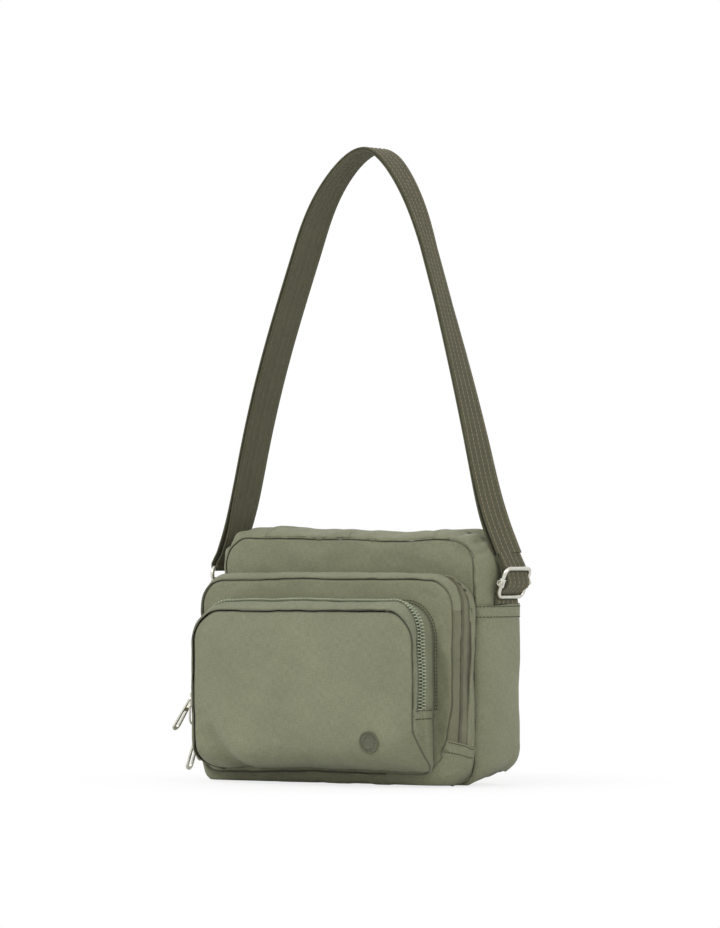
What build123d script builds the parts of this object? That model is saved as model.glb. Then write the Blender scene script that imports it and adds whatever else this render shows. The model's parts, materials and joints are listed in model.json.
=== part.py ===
"""Soft crossbody bag: three stacked compartments, three zips and a doubled webbing strap.

Millimetres, +Z up, the front of the bag toward -Y. The origin is on the floor, under the
middle of the main compartment. Every compartment is a U-shaped gusset between flat panels,
and the zips run in the gussets. The strap stands up as it does when the bag is carried.
"""

from build123d import *
import os
from math import cos, radians, sin

os.makedirs("parts", exist_ok=True)

# ---- cloth ----
cloth = 2.0  # padded nylon wall
tape = 1.0  # zip tape
play = 0.3  # clearance between soft pieces that move apart

# ---- main compartment ----
main_width = 250.0
main_depth = 64.0
main_height = 203.0  # top seam of both panels
main_crown = 9.0  # rise of the mouth above the seam
main_bulge = 10.0  # how far each side swells past the panels
main_corner = 24.0
base_corner = 16.0
mouth_end = 41.0  # from the side of the panels to the end of the part of the mouth that opens

# ---- middle compartment ----
middle_depth = 33.0
middle_height = 171.0
middle_crown = 7.0
middle_bulge = 3.0
middle_corner = 26.0
middle_base_corner = 22.0
middle_panel_rise = 9.0  # lower edge of the front panel above the floor
middle_chain_back = 20.0  # zip chain in front of the main panel
middle_tab_top = 32.0
middle_fold = 54.0  # the gusset swings from here up, clear of the parked slider

# ---- front pocket ----
pocket_depth = 35.0
pocket_width = 220.0
pocket_height = 147.0
pocket_panel_base = 20.0
pocket_seam_inset = 1.5  # the rear seam is this much narrower each side
pocket_seam_base = 10.0
pocket_crown = 7.0
pocket_bulge = 4.0
pocket_corner = 30.0
pocket_belly_corner = 18.0
pocket_chain_back = 17.0
pocket_tab_top = 62.0
pocket_fold = 84.0

# ---- zips ----
chain_half = 3.2  # half width of the meshed chain
chain_thick = 2.6
chain_gap = 0.3  # between the two halves of the chain
channel_half = 6.0  # half width of the strip that the tape fills
tab_length = 9.0
tab_half = 7.0
tab_thick = 1.2

# ---- zip sliders and pulls ----
slider_length = 14.0
heel_half = 4.4
nose_half = 5.4
plate = 1.4
flange = 0.8
post_width = 1.8
post_length = 2.6
bail_width = 2.4
bail_inside = 9.4
bail_clear = 2.7  # room under the bail
bail_thick = 1.3
bar_offset = 2.5  # the two pull bars lie this far either side of the slider's middle
pull_thick = 1.4
pull_length = 34.0
pull_head = 3.2
pull_tail = 4.5
pull_lean = 27.0  # the long pull leans out over the loop behind it
loop_length = 20.0
loop_width = 11.4
loop_wire = 1.6
window_start = 0.9  # the bail shows through a window in the pull's head
window_length = 8.9
slot_start = 13.0
slot_margin = 4.0  # metal left below the slot
slot_width = 3.6

# ---- side slip pockets ----
side_pocket_base = 20.0
side_pocket_hem = 146.0
side_pocket_room = 5.0
side_pocket_wall = 1.6
hem_height = 10.0
hem_thick = 0.8

# ---- badge ----
badge_radius = 9.2
badge_thick = 1.6
badge_x = 65.0
badge_z = 40.0

# ---- strap ----
webbing_width = 32.0
webbing = 1.6
strap_top = 533.0
pivot_height = 152.0
lap = 7.0  # overlap of the swinging webbing and its sewn anchor
anchor_tuck = 20.0  # length of the anchor sewn down inside the slip pocket
slider_rise = 14.0  # middle of the strap slider above the pivot
slider_stand = 7.6  # and outside the webbing that swings there
ring_wire = 3.0
ring_rise = 20.0  # middle of the ring above the pivot
ring_height = 15.0
frame_wire = 3.5
bar_wire = 3.0
sleeve_radius = 2.7
sleeve_length = 8.0
frame_pitch = 24.6  # between the outer bars of the strap slider
frame_lean = 13.8

front_face = -main_depth / 2
middle_face = front_face - middle_depth
pocket_face = middle_face - pocket_depth
middle_chain_y = front_face - middle_chain_back
pocket_chain_y = middle_face - pocket_chain_back
reach = 600.0  # longer than the bag, for cuts that run right through


# ---------------------------------------------------------------- helpers
def upright(y):
    """Plane across the bag at y, facing the front, with its own y along +Z."""
    return Plane.XZ.offset(-y)


def save(part, name):
    """Label one finished piece and write it."""
    part.label = name
    export_step(part, f"parts/{name}.step")


def outline(width, top, top_radius, bottom=0.0, bottom_radius=base_corner):
    """Sizes of one rounded panel outline between two heights."""
    return dict(width=width, top=top, top_radius=top_radius, bottom=bottom, bottom_radius=bottom_radius)


def panel_face(shape, grow=0.0):
    """Face of an outline, grown on every side."""
    with BuildSketch() as face:
        with Locations((0, shape["bottom"] - grow)):
            Rectangle(
                shape["width"] + 2 * grow,
                shape["top"] - shape["bottom"] + 2 * grow,
                align=(Align.CENTER, Align.MIN),
            )
        fillet(face.vertices().group_by(Axis.Y)[-1], shape["top_radius"] + grow)
        fillet(face.vertices().group_by(Axis.Y)[0], shape["bottom_radius"] + grow)
    return face.sketch


def sheet(y, shape, thickness=cloth):
    """Flat panel whose front face lies at y."""
    with BuildPart() as panel:
        with BuildSketch(upright(y + thickness)):
            add(panel_face(shape))
        extrude(amount=thickness)
    return panel.part


def band(stations, wall=cloth, outside=0.0):
    """Hollow band through outlines given as (y, outline)."""
    with BuildPart() as shell:
        for grow, mode in ((outside, Mode.ADD), (outside - wall, Mode.SUBTRACT)):
            for y, shape in stations:
                with BuildSketch(upright(y)):
                    add(panel_face(shape, grow))
            loft(ruled=True, mode=mode)
    return shell.part


def block(low, high):
    """Box between two corners."""
    with BuildPart() as box:
        with Locations(low):
            Box(*(Vector(*high) - Vector(*low)), align=(Align.MIN, Align.MIN, Align.MIN))
    return box.part


def within(part, x=(-reach, reach), y=(-reach, reach), z=(-reach, reach)):
    """The stretch of a piece between the given limits."""
    with BuildPart() as kept:
        add(part)
        add(block((x[0], y[0], z[0]), (x[1], y[1], z[1])), mode=Mode.INTERSECT)
    return kept.part


def joined(*parts):
    """Several solids as one piece or one group."""
    with BuildPart() as group:
        for part in parts:
            add(part)
    return group.part


def without(part, *cutters):
    """A piece with others cut away."""
    with BuildPart() as left:
        add(part)
        for cutter in cutters:
            add(cutter, mode=Mode.SUBTRACT)
    return left.part


# ---------------------------------------------------------------- main compartment
def main_section(share):
    """Outline of the main gusset where it has swollen by a share of its bulge."""
    return outline(
        main_width + 2 * share * main_bulge,
        main_height + share * main_crown,
        main_corner + share * main_bulge,
        0.0,
        base_corner + share * main_bulge / 2,
    )


gusset_reach = main_depth / 2 - cloth
main_flat = channel_half + 3.0  # level with the chain this far each side of it
main_ease = (gusset_reach + main_flat) / 2
ease_share = 0.7
main_shell = band(
    [
        (-gusset_reach, main_section(0.0)),
        (-main_ease, main_section(ease_share)),
        (-main_flat, main_section(1.0)),
        (main_flat, main_section(1.0)),
        (main_ease, main_section(ease_share)),
        (gusset_reach, main_section(0.0)),
    ]
)
mouth_half = main_width / 2 - mouth_end
mouth_level = main_height - main_corner
crown_top = main_height + main_crown
run_end = mouth_half + 2 * play + slider_length  # the chain goes on this far past the mouth

save(sheet(main_depth / 2 - cloth, main_section(0.0)), "main_back_panel")
save(sheet(front_face, main_section(0.0)), "main_front_panel")
save(
    without(
        main_shell,
        block((-mouth_half, -reach, mouth_level), (mouth_half, reach, reach)),
        block((-run_end, -channel_half, mouth_level), (run_end, channel_half, reach)),
    ),
    "main_gusset",
)

cloth_middle = crown_top - cloth / 2  # level of the main zip's tape and chain


def main_strip(x, near, far, thickness):
    """Straight strip of the main zip between two distances from the middle of the bag."""
    low, high = sorted((near, far))
    return block(
        (x[0], low, cloth_middle - thickness / 2), (x[1], high, cloth_middle + thickness / 2)
    )


for side, name in ((-1, "front"), (1, "rear")):
    lips = sorted((side * channel_half, side * reach))
    opening = (-mouth_half + play, mouth_half - play)
    save(within(main_shell, x=opening, y=lips, z=(mouth_level, reach)), f"main_mouth_{name}")
    save(main_strip(opening, side * chain_half, side * channel_half, tape), f"main_zip_tape_{name}")
    save(
        main_strip(opening, side * chain_gap / 2, side * chain_half, chain_thick),
        f"main_zip_chain_{name}",
    )

park_clear = slider_length - post_length - 1.5  # the chain reaches this far into a parked slider
chain_end = mouth_half + 2 * play + park_clear
save(
    joined(
        *[
            main_strip(sorted((end * mouth_half, end * run_end)), side * chain_half, side * channel_half, tape)
            for end in (-1, 1)
            for side in (-1, 1)
        ]
    ),
    "main_zip_end_tapes",
)
save(
    joined(
        *[
            main_strip(sorted((end * mouth_half, end * chain_end)), -chain_half, chain_half, chain_thick)
            for end in (-1, 1)
        ]
    ),
    "main_zip_end_chains",
)


# ---------------------------------------------------------------- side slip pockets
def gusset_side(y):
    """Half width of the main gusset at y, where its side is straight."""
    ease_x = main_width / 2 + ease_share * main_bulge
    full_x = main_width / 2 + main_bulge
    if y > main_ease:
        share = (gusset_reach - y) / (gusset_reach - main_ease)
        return main_width / 2 + share * (ease_x - main_width / 2)
    share = (main_ease - y) / (main_ease - main_flat)
    return ease_x + min(share, 1.0) * (full_x - ease_x)


seam_outer = gusset_reach - 0.5
seam_inner = seam_outer - side_pocket_wall
knee_y = main_ease + 2.0
knee_x = gusset_side(main_ease) + side_pocket_room
crest_x = gusset_side(0.0) + side_pocket_room


def mirrored(points):
    """Points given for positive y, then the same ones on the other side, in order."""
    return points + [(x, -y) for x, y in reversed(points)]


gusset_back = [(gusset_side(main_ease), main_ease), (gusset_side(main_flat), main_flat)]


def pocket_plan(grow):
    """Plan of the slip pocket's outside as a closed figure against the gusset."""
    out = [
        (gusset_side(seam_outer), seam_outer),
        (knee_x + side_pocket_wall + grow, knee_y + side_pocket_wall / 2),
        (crest_x + side_pocket_wall + grow, main_flat),
    ]
    with BuildSketch() as plan:
        with BuildLine():
            Polyline(*mirrored(out), *reversed(mirrored(gusset_back)), close=True)
        make_face()
    return plan.sketch


with BuildSketch() as pocket_room:
    room = [
        (gusset_side(seam_inner), seam_inner),
        (knee_x, knee_y - side_pocket_wall / 2),
        (crest_x, main_flat),
    ]
    with BuildLine():
        Polyline(*mirrored(room), *reversed(mirrored(gusset_back)), close=True)
    make_face()

with BuildPart() as side_pocket:
    with BuildSketch(Plane.XY.offset(side_pocket_base)):
        add(pocket_plan(0.0))
    extrude(amount=side_pocket_hem - side_pocket_base)
    with BuildSketch(Plane.XY.offset(side_pocket_hem - hem_height)):
        add(pocket_plan(hem_thick))
    extrude(amount=hem_height)
    with BuildSketch(Plane.XY.offset(side_pocket_base + side_pocket_wall)):
        add(pocket_room.sketch)
    extrude(amount=side_pocket_hem, mode=Mode.SUBTRACT)
save(side_pocket.part, "side_pocket_right")
save(side_pocket.part.mirror(Plane.YZ), "side_pocket_left")


# ---------------------------------------------------------------- U-shaped zips
def ring(shape, front, back, thickness):
    """Band of even thickness in the middle of the cloth of an outline."""
    return band(
        [(front, shape), (back, shape)], wall=thickness, outside=(thickness - cloth) / 2
    )


def zip_half(shape, chain_y, side, z):
    """Tape and chain of one half of a U-shaped zip, cut between two heights."""
    tape_y = sorted((chain_y + side * chain_half, chain_y + side * channel_half))
    chain_at = sorted((chain_y + side * chain_gap / 2, chain_y + side * chain_half))
    return (
        within(ring(shape, *tape_y, tape), z=z),
        within(ring(shape, *chain_at, chain_thick), z=z),
    )


def zip_lower(shape, chain_y, fold, tab_top):
    """The closed lower ends of a U-shaped zip: tapes down to the tabs, chain to the slider."""
    tapes = [
        within(ring(shape, *sorted((chain_y + s * chain_half, chain_y + s * channel_half)), tape),
               z=(tab_top, fold))
        for s in (-1, 1)
    ]
    start = tab_top + play + slider_length - park_clear
    chain = within(
        ring(shape, chain_y - chain_half, chain_y + chain_half, chain_thick), z=(start, fold)
    )
    return joined(*tapes), chain


def end_tabs(shape, chain_y, tab_top):
    """The two stitched patches that close the lower ends of a U-shaped zip."""
    side_x = shape["width"] / 2
    low = (side_x, chain_y - tab_half, tab_top - tab_length)
    high = (side_x + tab_thick, chain_y + tab_half, tab_top)
    with BuildPart() as tab:
        add(block(low, high))
        fillet(tab.edges().filter_by(Axis.X), 1.5)
    return joined(tab.part, tab.part.mirror(Plane.YZ))


# ---------------------------------------------------------------- middle compartment
middle_panel = outline(
    main_width, middle_height, middle_corner, middle_panel_rise, middle_base_corner
)
middle_full = outline(
    main_width + 2 * middle_bulge,
    middle_height + middle_crown,
    middle_corner + middle_bulge,
    0.0,
    middle_base_corner + middle_bulge,
)
middle_rear = outline(main_width, middle_height, middle_corner, 0.0, middle_base_corner)
middle_flat = channel_half + 1.0
middle_seam = middle_face + cloth
middle_shell = band(
    [
        (middle_seam, middle_panel),
        (middle_chain_y - middle_flat, middle_full),
        (middle_chain_y + middle_flat, middle_full),
        (front_face, middle_rear),
    ]
)
middle_channel = (middle_chain_y - channel_half, middle_chain_y + channel_half)
middle_fold_gap = 2 * play
save(
    without(
        within(middle_shell, y=(middle_seam + middle_fold_gap, reach), z=(-reach, middle_fold)),
        block((-reach, middle_channel[0], middle_tab_top), (reach, middle_channel[1], reach)),
    ),
    "middle_gusset_base",
)
save(
    within(middle_shell, y=(middle_channel[1], reach), z=(middle_fold, reach)), "middle_gusset_rear"
)
save(
    within(middle_shell, y=(-reach, middle_channel[0]), z=(middle_fold + play, reach)),
    "middle_gusset_front",
)
for side, name, start in ((1, "rear", middle_fold), (-1, "front", middle_fold + play)):
    tape_part, chain_part = zip_half(middle_full, middle_chain_y, side, (start, reach))
    save(tape_part, f"middle_zip_tape_{name}")
    save(chain_part, f"middle_zip_chain_{name}")
lower_tapes, lower_chain = zip_lower(middle_full, middle_chain_y, middle_fold, middle_tab_top)
save(lower_tapes, "middle_zip_tape_lower")
save(lower_chain, "middle_zip_chain_lower")
save(end_tabs(middle_full, middle_chain_y, middle_tab_top), "middle_zip_tabs")
save(sheet(middle_face, middle_panel), "middle_front_panel")

# ---------------------------------------------------------------- front pocket
pocket_rear = outline(
    pocket_width - 2 * pocket_seam_inset,
    pocket_height + pocket_crown / 2,
    pocket_corner,
    pocket_seam_base,
    pocket_belly_corner,
)
pocket_full = outline(
    pocket_width + 2 * pocket_bulge,
    pocket_height + pocket_crown,
    pocket_corner + pocket_bulge,
    pocket_seam_base,
    pocket_belly_corner + pocket_bulge,
)
pocket_panel = outline(
    pocket_width, pocket_height, pocket_corner, pocket_panel_base, pocket_belly_corner
)
pocket_flat = channel_half + 1.0
pocket_seam = pocket_face + cloth
pocket_shell = band(
    [
        (pocket_seam, pocket_panel),
        (pocket_chain_y - pocket_flat, pocket_full),
        (pocket_chain_y + pocket_flat, pocket_full),
        (middle_face, pocket_rear),
    ]
)
pocket_channel = (pocket_chain_y - channel_half, pocket_chain_y + channel_half)
save(
    without(
        within(pocket_shell, z=(-reach, pocket_fold)),
        block((-reach, pocket_channel[0], pocket_tab_top), (reach, pocket_channel[1], reach)),
    ),
    "pocket_gusset_base",
)
save(within(pocket_shell, y=(pocket_channel[1], reach), z=(pocket_fold, reach)), "pocket_gusset_rear")
save(
    within(pocket_shell, y=(-reach, pocket_channel[0]), z=(pocket_fold + play, reach)),
    "pocket_gusset_front",
)
for side, name, start in ((1, "rear", pocket_fold), (-1, "front", pocket_fold + play)):
    tape_part, chain_part = zip_half(pocket_full, pocket_chain_y, side, (start, reach))
    save(tape_part, f"pocket_zip_tape_{name}")
    save(chain_part, f"pocket_zip_chain_{name}")
lower_tapes, lower_chain = zip_lower(pocket_full, pocket_chain_y, pocket_fold, pocket_tab_top)
save(lower_tapes, "pocket_zip_tape_lower")
save(lower_chain, "pocket_zip_chain_lower")
save(end_tabs(pocket_full, pocket_chain_y, pocket_tab_top), "pocket_zip_tabs")
whole_panel = sheet(pocket_face, pocket_panel)
save(within(whole_panel, z=(-reach, pocket_fold - play)), "pocket_panel_lower")
save(within(whole_panel, z=(pocket_fold, reach)), "pocket_panel_upper")

with BuildPart() as badge:
    with BuildSketch(Plane.XZ):
        with BuildLine():
            Polyline(
                (0, 0),
                (badge_radius, 0),
                (badge_radius, badge_thick),
                (badge_radius - 1.6, badge_thick),
                (badge_radius - 2.4, badge_thick / 2),
                (badge_radius / 3, badge_thick / 2),
                (badge_radius / 3 - 0.8, badge_thick),
                (0, badge_thick),
                close=True,
            )
        make_face()
    revolve(axis=Axis.Z)
badge_seat = Plane(origin=(badge_x, pocket_face, badge_z), x_dir=(1, 0, 0), z_dir=(0, -1, 0))
save(badge_seat.location * badge.part, "round_badge")


# ---------------------------------------------------------------- zip sliders and pulls
chain_depth = plate + play + chain_thick / 2  # chain's middle below the slider's top


def zip_slider(seat):
    """Slider whose seat plane has x along its travel and z out of the cloth.

    Two plates with inturned flanges run each side of the chain. A post joins them at the
    nose, where the halves of the chain part, and a bail on top carries the pulls.
    """
    half = slider_length / 2
    bottom = -2 * chain_depth
    with BuildPart() as slider:
        for level in (-plate - flange, bottom):
            with BuildSketch(seat.offset(level)) as shield:
                with BuildLine():
                    Polyline(
                        (half, heel_half),
                        (-half / 2, nose_half),
                        (-half, nose_half),
                        (-half, -nose_half),
                        (-half / 2, -nose_half),
                        (half, -heel_half),
                        close=True,
                    )
                make_face()
                fillet(shield.vertices().group_by(Axis.X)[0], 2.0)
                fillet(shield.vertices().group_by(Axis.X)[-1], 1.5)
            extrude(amount=plate + flange)
        with BuildSketch(seat.offset(bottom + plate)):
            Rectangle(2 * slider_length, 2 * (chain_half + play))
        extrude(amount=-bottom - 2 * plate, mode=Mode.SUBTRACT)
        with BuildSketch(seat.offset(bottom + plate)):
            with Locations((-half + play + post_length / 2, 0)):
                SlotOverall(post_length, post_width)
        extrude(amount=-bottom - 2 * plate)
        side_view = Plane(origin=seat.origin, x_dir=seat.x_dir, z_dir=-seat.y_dir)
        with BuildSketch(side_view) as bail:
            Rectangle(
                bail_inside + 2 * bail_thick, bail_clear + bail_thick, align=(Align.CENTER, Align.MIN)
            )
            fillet(bail.vertices().group_by(Axis.Y)[-1], 2.4)
            Rectangle(
                bail_inside,
                bail_clear,
                align=(Align.CENTER, Align.MIN),
                mode=Mode.SUBTRACT,
            )
        extrude(amount=bail_width / 2, both=True)
    return slider.part


def pull_plane(seat, along, lean):
    """Plane of a pull that hangs back along the chain, leaning out of the cloth."""
    bar = seat.origin + seat.x_dir * along + seat.z_dir * (bail_clear / 2)
    out = -seat.x_dir * cos(radians(lean)) + seat.z_dir * sin(radians(lean))
    return Plane(origin=bar, x_dir=out, z_dir=out.cross(seat.y_dir))


def long_pull(hang):
    """Flat tapered pull: a window for the bail at its head and a long slot below."""
    head_x = pull_head - 1.0
    tail_x = pull_length - pull_tail - 1.0
    slot_length = pull_length - slot_margin - slot_start
    with BuildPart() as pull:
        with BuildSketch(hang.offset(-pull_thick / 2)):
            with Locations((head_x, 0)):
                Circle(pull_head)
            with Locations((tail_x, 0)):
                Circle(pull_tail)
            make_hull()
            with Locations((window_start + window_length / 2, 0)):
                Rectangle(window_length, bail_width + 1.0, mode=Mode.SUBTRACT)
            with Locations((slot_start + slot_length / 2, 0)):
                SlotOverall(slot_length, slot_width, mode=Mode.SUBTRACT)
        extrude(amount=pull_thick)
    return pull.part


def wire_frame(plane, width, height, radius, wire):
    """Closed frame of round wire: a slot when the radius is half the height."""
    with BuildPart() as frame:
        with BuildSketch(plane, mode=Mode.PRIVATE) as middle:
            RectangleRounded(width, height, radius)
        path = middle.sketch.face().outer_wire()
        with BuildSketch(Plane(origin=path @ 0, z_dir=path % 0)):
            Circle(wire / 2)
        sweep(path=path)
    return frame.part


def wire_loop(hang):
    """Oval loop of round wire that hangs behind the long pull."""
    length = loop_length - loop_wire
    width = loop_width - loop_wire
    middle = Plane(
        origin=hang.origin + hang.x_dir * (length / 2), x_dir=hang.x_dir, z_dir=hang.z_dir
    )
    return wire_frame(middle, length, width, width / 2 - 0.01, loop_wire)


def zip_hardware(seat, name, with_loop):
    """Slider, long pull and, on the two front zips, the wire loop behind it."""
    save(zip_slider(seat), f"{name}_zip_slider")
    lean = pull_lean if with_loop else 0.0
    save(long_pull(pull_plane(seat, bar_offset, lean)), f"{name}_zip_pull")
    if with_loop:
        save(wire_loop(pull_plane(seat, -bar_offset, 0.0)), f"{name}_zip_loop")


def side_seat(shape, chain_y, tab_top):
    """Seat of a slider parked above the left end tab of a U-shaped zip."""
    seat_x = -(shape["width"] / 2 - cloth / 2 + chain_depth)
    seat_z = tab_top + play + slider_length / 2
    return Plane(origin=(seat_x, chain_y, seat_z), x_dir=(0, 0, 1), z_dir=(-1, 0, 0))


main_seat = Plane(
    origin=(-(mouth_half + 2 * play + slider_length / 2), 0, cloth_middle + chain_depth),
    x_dir=(1, 0, 0),
    z_dir=(0, 0, 1),
)
zip_hardware(main_seat, "main", False)
zip_hardware(side_seat(middle_full, middle_chain_y, middle_tab_top), "middle", True)
zip_hardware(side_seat(pocket_full, pocket_chain_y, pocket_tab_top), "pocket", True)


# ---------------------------------------------------------------- strap
crest = crest_x + side_pocket_wall + hem_thick  # outermost face of the slip pocket
anchor_x = crest + play + webbing / 2
swing_x = anchor_x + webbing + play
sewn_x = gusset_side(0.0) + play + webbing / 2
lap_base = pivot_height - lap / 2
lap_top = pivot_height + lap / 2
ply_pitch = webbing + play  # between the middles of two plies that lie together


def folded(points, radii):
    """Webbing on edge along straight runs joined by arcs, in XZ."""
    with BuildPart() as piece:
        with BuildSketch(Plane.XZ.offset(-webbing_width / 2)):
            with BuildLine(mode=Mode.PRIVATE) as path:
                FilletPolyline(*points, radius=radii)
            trace(path.line, line_width=webbing)
        extrude(amount=webbing_width)
    return piece.part


leg_shape = [  # (share of the half span, share of the rise above the pivot)
    (1.001, 0.102),
    (0.915, 0.155),
    (0.825, 0.265),
    (0.660, 0.512),
    (0.509, 0.722),
    (0.275, 0.913),
    (0.055, 0.995),
    (-0.213, 0.929),
    (-0.433, 0.764),
    (-0.612, 0.577),
    (-0.770, 0.362),
    (-0.901, 0.168),
    (-0.970, 0.110),
]
strap_rise = strap_top - pivot_height
leg_points = [(x * swing_x, pivot_height + z * strap_rise) for x, z in leg_shape]
route = Spline(*leg_points)  # runs between the two plies, from the slider over to the ring
ply_share = 0.08  # near the slider the inner ply stands off over this share of the route


def beside(at, shift, beyond=0.0):
    """Point to the right of the route, past its end by a distance if wanted."""
    along = route % at
    spot = route @ at + Vector(along.Y, -along.X) * shift + along * beyond
    return (spot.X, spot.Y)


def ply(middle, spread=0.0, samples=72):
    """One long ply of the strap, a set distance from the route."""

    def edge(shift):
        spots = []
        for step in range(samples + 1):
            at = step / samples
            off = max(0.0, 1 - at / ply_share) ** 2 * spread
            spots.append(beside(at, shift + off))
        return spots

    with BuildPart() as webbing_ply:
        with BuildSketch(Plane.XZ.offset(-webbing_width / 2)):
            with BuildLine():
                first = Spline(*edge(middle - webbing / 2))
                second = Spline(*edge(middle + webbing / 2))
                Line(first @ 0, second @ 0)
                Line(first @ 1, second @ 1)
            make_face()
        extrude(amount=webbing_width)
    return webbing_ply.part


def ply_end(at, shift):
    """Two points that carry a ply on, straight past one end of the route."""
    beyond = -1 if at == 0 else 1
    return [beside(at, shift, beyond * 0.1), beside(at, shift, beyond * 4.0)]


save(ply(ply_pitch / 2), "strap_outer_ply")
save(ply(-ply_pitch / 2, -ply_pitch), "strap_inner_ply")

over_hem = [
    (sewn_x, side_pocket_hem - anchor_tuck),
    (sewn_x, side_pocket_hem + 1.4),
    (anchor_x, side_pocket_hem + 4.6),
    (anchor_x, lap_top),
]
anchor = folded(over_hem, [4.0, 2.2])
save(anchor, "strap_anchor_right")
save(anchor.mirror(Plane.YZ), "strap_anchor_left")

# the metal slider on the right leg
slider_middle = Vector(swing_x + slider_stand, pivot_height + slider_rise)
up = Vector(sin(radians(frame_lean)), cos(radians(frame_lean)))
out = Vector(up.Y, -up.X)
half_pitch = frame_pitch / 2
bar_pass = frame_wire / 2 + webbing / 2 + 3 * play  # corner of a ply that passes an outer bar
wrap_radius = bar_wire / 2 + play + webbing / 2  # a ply's middle where it wraps the middle bar
peak = 5.5  # corner of the ply that crosses over that wrap


def at_slider(along, outward):
    """Point beside the strap slider, along the leg and out of it."""
    spot = slider_middle + up * along + out * outward
    return (spot.X, spot.Y)


save(
    folded(
        [
            (swing_x, lap_base),
            (swing_x, pivot_height),
            at_slider(-half_pitch, -bar_pass),
            at_slider(0, peak),
            at_slider(half_pitch, -bar_pass),
            *reversed(ply_end(0, ply_pitch / 2)),
        ],
        [3.0, 3.0, 5.0, 3.0, 3.0],
    ),
    "strap_threaded_run",
)

# the end of the strap wraps the middle bar and is sewn back on itself, under that run
cross = Vector(half_pitch, -(peak + bar_pass)).normalized()
return_at_wrap = (wrap_radius + cross.Y * -wrap_radius) / cross.X
return_at_bar = (wrap_radius + cross.Y * half_pitch) / cross.X
inner_at_bar = return_at_bar - ply_pitch - 2 * play
save(
    folded(
        [
            *ply_end(0, -3 * ply_pitch / 2),
            at_slider(half_pitch, inner_at_bar),
            at_slider(wrap_radius + 1.0, -wrap_radius),
            at_slider(-wrap_radius, -wrap_radius),
            at_slider(-wrap_radius, (wrap_radius - cross.Y * wrap_radius) / cross.X),
            at_slider(half_pitch, return_at_bar),
            *reversed(ply_end(0, -ply_pitch / 2)),
        ],
        [3.0, 3.0, 1.0, wrap_radius - 0.05, wrap_radius - 0.05, 3.0, 3.0],
    ),
    "strap_slider_loop",
)

frame_origin = (slider_middle.X, 0, slider_middle.Y)
frame_plane = Plane(origin=frame_origin, x_dir=(0, 1, 0), z_dir=(out.X, 0, out.Y))
rail_plane = Plane(origin=frame_origin, x_dir=(0, 1, 0), z_dir=(up.X, 0, up.Y))
rail_y = webbing_width / 2 + play + sleeve_radius
save(wire_frame(frame_plane, 2 * rail_y, frame_pitch, 5.0, frame_wire), "strap_slider_frame")
with BuildPart() as slider_bar:
    with BuildSketch(Plane.XZ.offset(-rail_y)):
        with Locations((slider_middle.X, slider_middle.Y)):
            Circle(bar_wire / 2)
    extrude(amount=2 * rail_y)
    with BuildSketch(rail_plane.offset(-sleeve_length / 2)):
        with Locations((-rail_y, 0), (rail_y, 0)):
            Circle(sleeve_radius)
    extrude(amount=sleeve_length)
    with BuildSketch(rail_plane.offset(-sleeve_length / 2)):
        with Locations((-rail_y, 0), (rail_y, 0)):
            Circle(frame_wire / 2 + 0.05)
    extrude(amount=sleeve_length, mode=Mode.SUBTRACT)
save(slider_bar.part, "strap_slider_bar")

# the metal ring on the left leg
ring_middle = pivot_height + ring_rise
ring_pass = ring_wire / 2 + play + webbing / 2
ring_x = -(swing_x + ring_pass)
ring_pitch = ring_height - ring_wire
ring_plane = Plane(origin=(ring_x, 0, ring_middle), x_dir=(0, 1, 0), z_dir=(-1, 0, 0))
ring_span = webbing_width + 2 * play + 2 * ring_wire
bar_top = ring_middle + ring_pitch / 2
bar_low = ring_middle - ring_pitch / 2
save(wire_frame(ring_plane, ring_span, ring_pitch, 3.0, ring_wire), "left_ring")
save(
    folded(
        [
            *ply_end(1, ply_pitch / 2),
            (ring_x - ring_pass, bar_top + 3.0),
            (ring_x - ring_pass, bar_top - ring_pass),
            (ring_x + ring_pass, bar_top - ring_pass),
            (ring_x + ring_pass, bar_top + 3.0),
            *reversed(ply_end(1, -ply_pitch / 2)),
        ],
        [2.0, 2.0, ring_pass - 0.05, ring_pass - 0.05, 2.0, 2.0],
    ),
    "strap_ring_loop",
)
save(
    folded(
        [
            (-swing_x, lap_base),
            (-swing_x, bar_low + ring_pass),
            (ring_x - ring_pass, bar_low + ring_pass),
            (ring_x - ring_pass, bar_low - 2.0),
            (-swing_x - ply_pitch, bar_low - 6.0),
            (-swing_x - ply_pitch, lap_base),
        ],
        [ring_pass - 0.05, ring_pass - 0.05, 1.0, 2.0],
    ),
    "left_ring_tab",
)
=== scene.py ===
"""Dressed model of the soft crossbody bag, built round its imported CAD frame.

Lengths are in millimetres until a mesh is made. X runs across the bag, the front faces -Y.
"""

import json
from math import cos, pi, radians, sin, sqrt

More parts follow.
